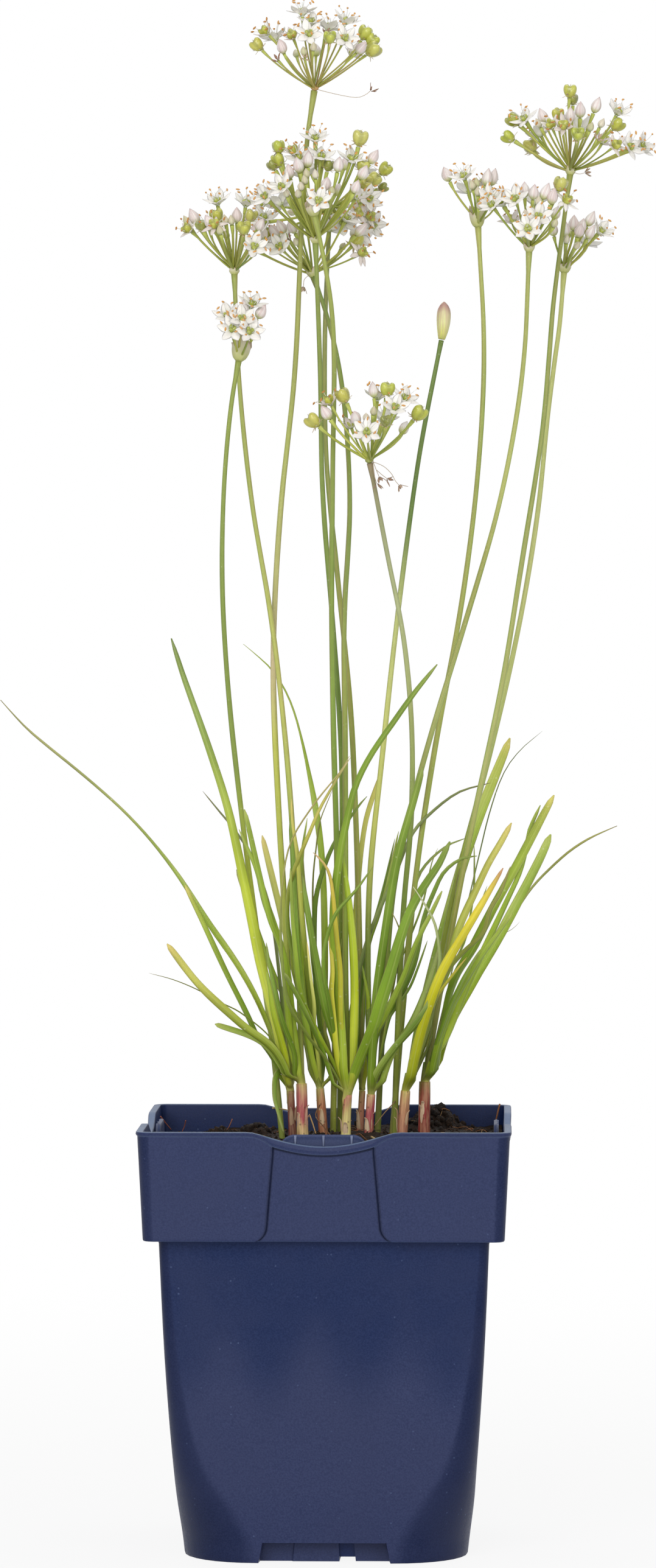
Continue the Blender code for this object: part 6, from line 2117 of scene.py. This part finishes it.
class CHIVES_OT_leaves(bpy.types.Operator):
    """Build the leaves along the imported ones"""
    bl_idname = "chives.leaves"
    bl_label = "Leaves"

    def execute(self, context):
        make_leaves()
        return {"FINISHED"}


class CHIVES_OT_small_leaves(bpy.types.Operator):
    """Build the small leaves, tips and strands between the leaves"""
    bl_idname = "chives.small_leaves"
    bl_label = "Small Leaves"

    def execute(self, context):
        make_small_leaves()
        return {"FINISHED"}


class CHIVES_OT_stalks(bpy.types.Operator):
    """Build the flower stalks and the closed bud"""
    bl_idname = "chives.stalks"
    bl_label = "Flower Stalks"

    def execute(self, context):
        make_stalks()
        make_closed_bud()
        return {"FINISHED"}


class CHIVES_OT_heads(bpy.types.Operator):
    """Build the flower heads: rays, flowers, buds, capsules and bracts"""
    bl_idname = "chives.heads"
    bl_label = "Flower Heads"

    def execute(self, context):
        make_heads()
        return {"FINISHED"}


class CHIVES_OT_stage(bpy.types.Operator):
    """Build the floor, the lights and the camera"""
    bl_idname = "chives.stage"
    bl_label = "Stage"

    def execute(self, context):
        make_stage()
        return {"FINISHED"}


class CHIVES_PT_panel(bpy.types.Panel):
    """The sizes and colours, and a button for each group of pieces"""
    bl_label = "Garlic Chives"
    bl_idname = "CHIVES_PT_panel"
    bl_space_type = "VIEW_3D"
    bl_region_type = "UI"
    bl_category = "Chives"

    def draw(self, context):
        for group in SETTINGS:
            for name in SETTINGS[group].__annotations__:
                self.layout.prop(getattr(context.scene, group), name)
        for operator in OPERATORS:
            self.layout.operator(operator.bl_idname)


SETTINGS = {
    "pot_settings": PotSettings, "soil_settings": SoilSettings, "plant_settings": PlantSettings,
    "flower_settings": FlowerSettings, "stage_settings": StageSettings,
}
OPERATORS = (CHIVES_OT_pot, CHIVES_OT_labels, CHIVES_OT_soil, CHIVES_OT_sheaths, CHIVES_OT_leaves,
             CHIVES_OT_small_leaves, CHIVES_OT_stalks, CHIVES_OT_heads, CHIVES_OT_stage)


def register():
    for group, kind in SETTINGS.items():
        bpy.utils.register_class(kind)
        setattr(bpy.types.Scene, group, bpy.props.PointerProperty(type=kind))
    for kind in (*OPERATORS, CHIVES_PT_panel):
        bpy.utils.register_class(kind)


def unregister():
    for kind in (CHIVES_PT_panel, *reversed(OPERATORS)):
        bpy.utils.unregister_class(kind)
    for group, kind in SETTINGS.items():
        delattr(bpy.types.Scene, group)
        bpy.utils.unregister_class(kind)


def main():
    register()
    bpy.ops.chives.stage()
    bpy.ops.chives.pot()
    bpy.ops.chives.labels()
    bpy.ops.chives.soil()
    bpy.ops.chives.sheaths()
    bpy.ops.chives.leaves()
    bpy.ops.chives.small_leaves()
    bpy.ops.chives.stalks()
    bpy.ops.chives.heads()
    bpy.context.view_layer.update()


if __name__ == "__main__":
    main()
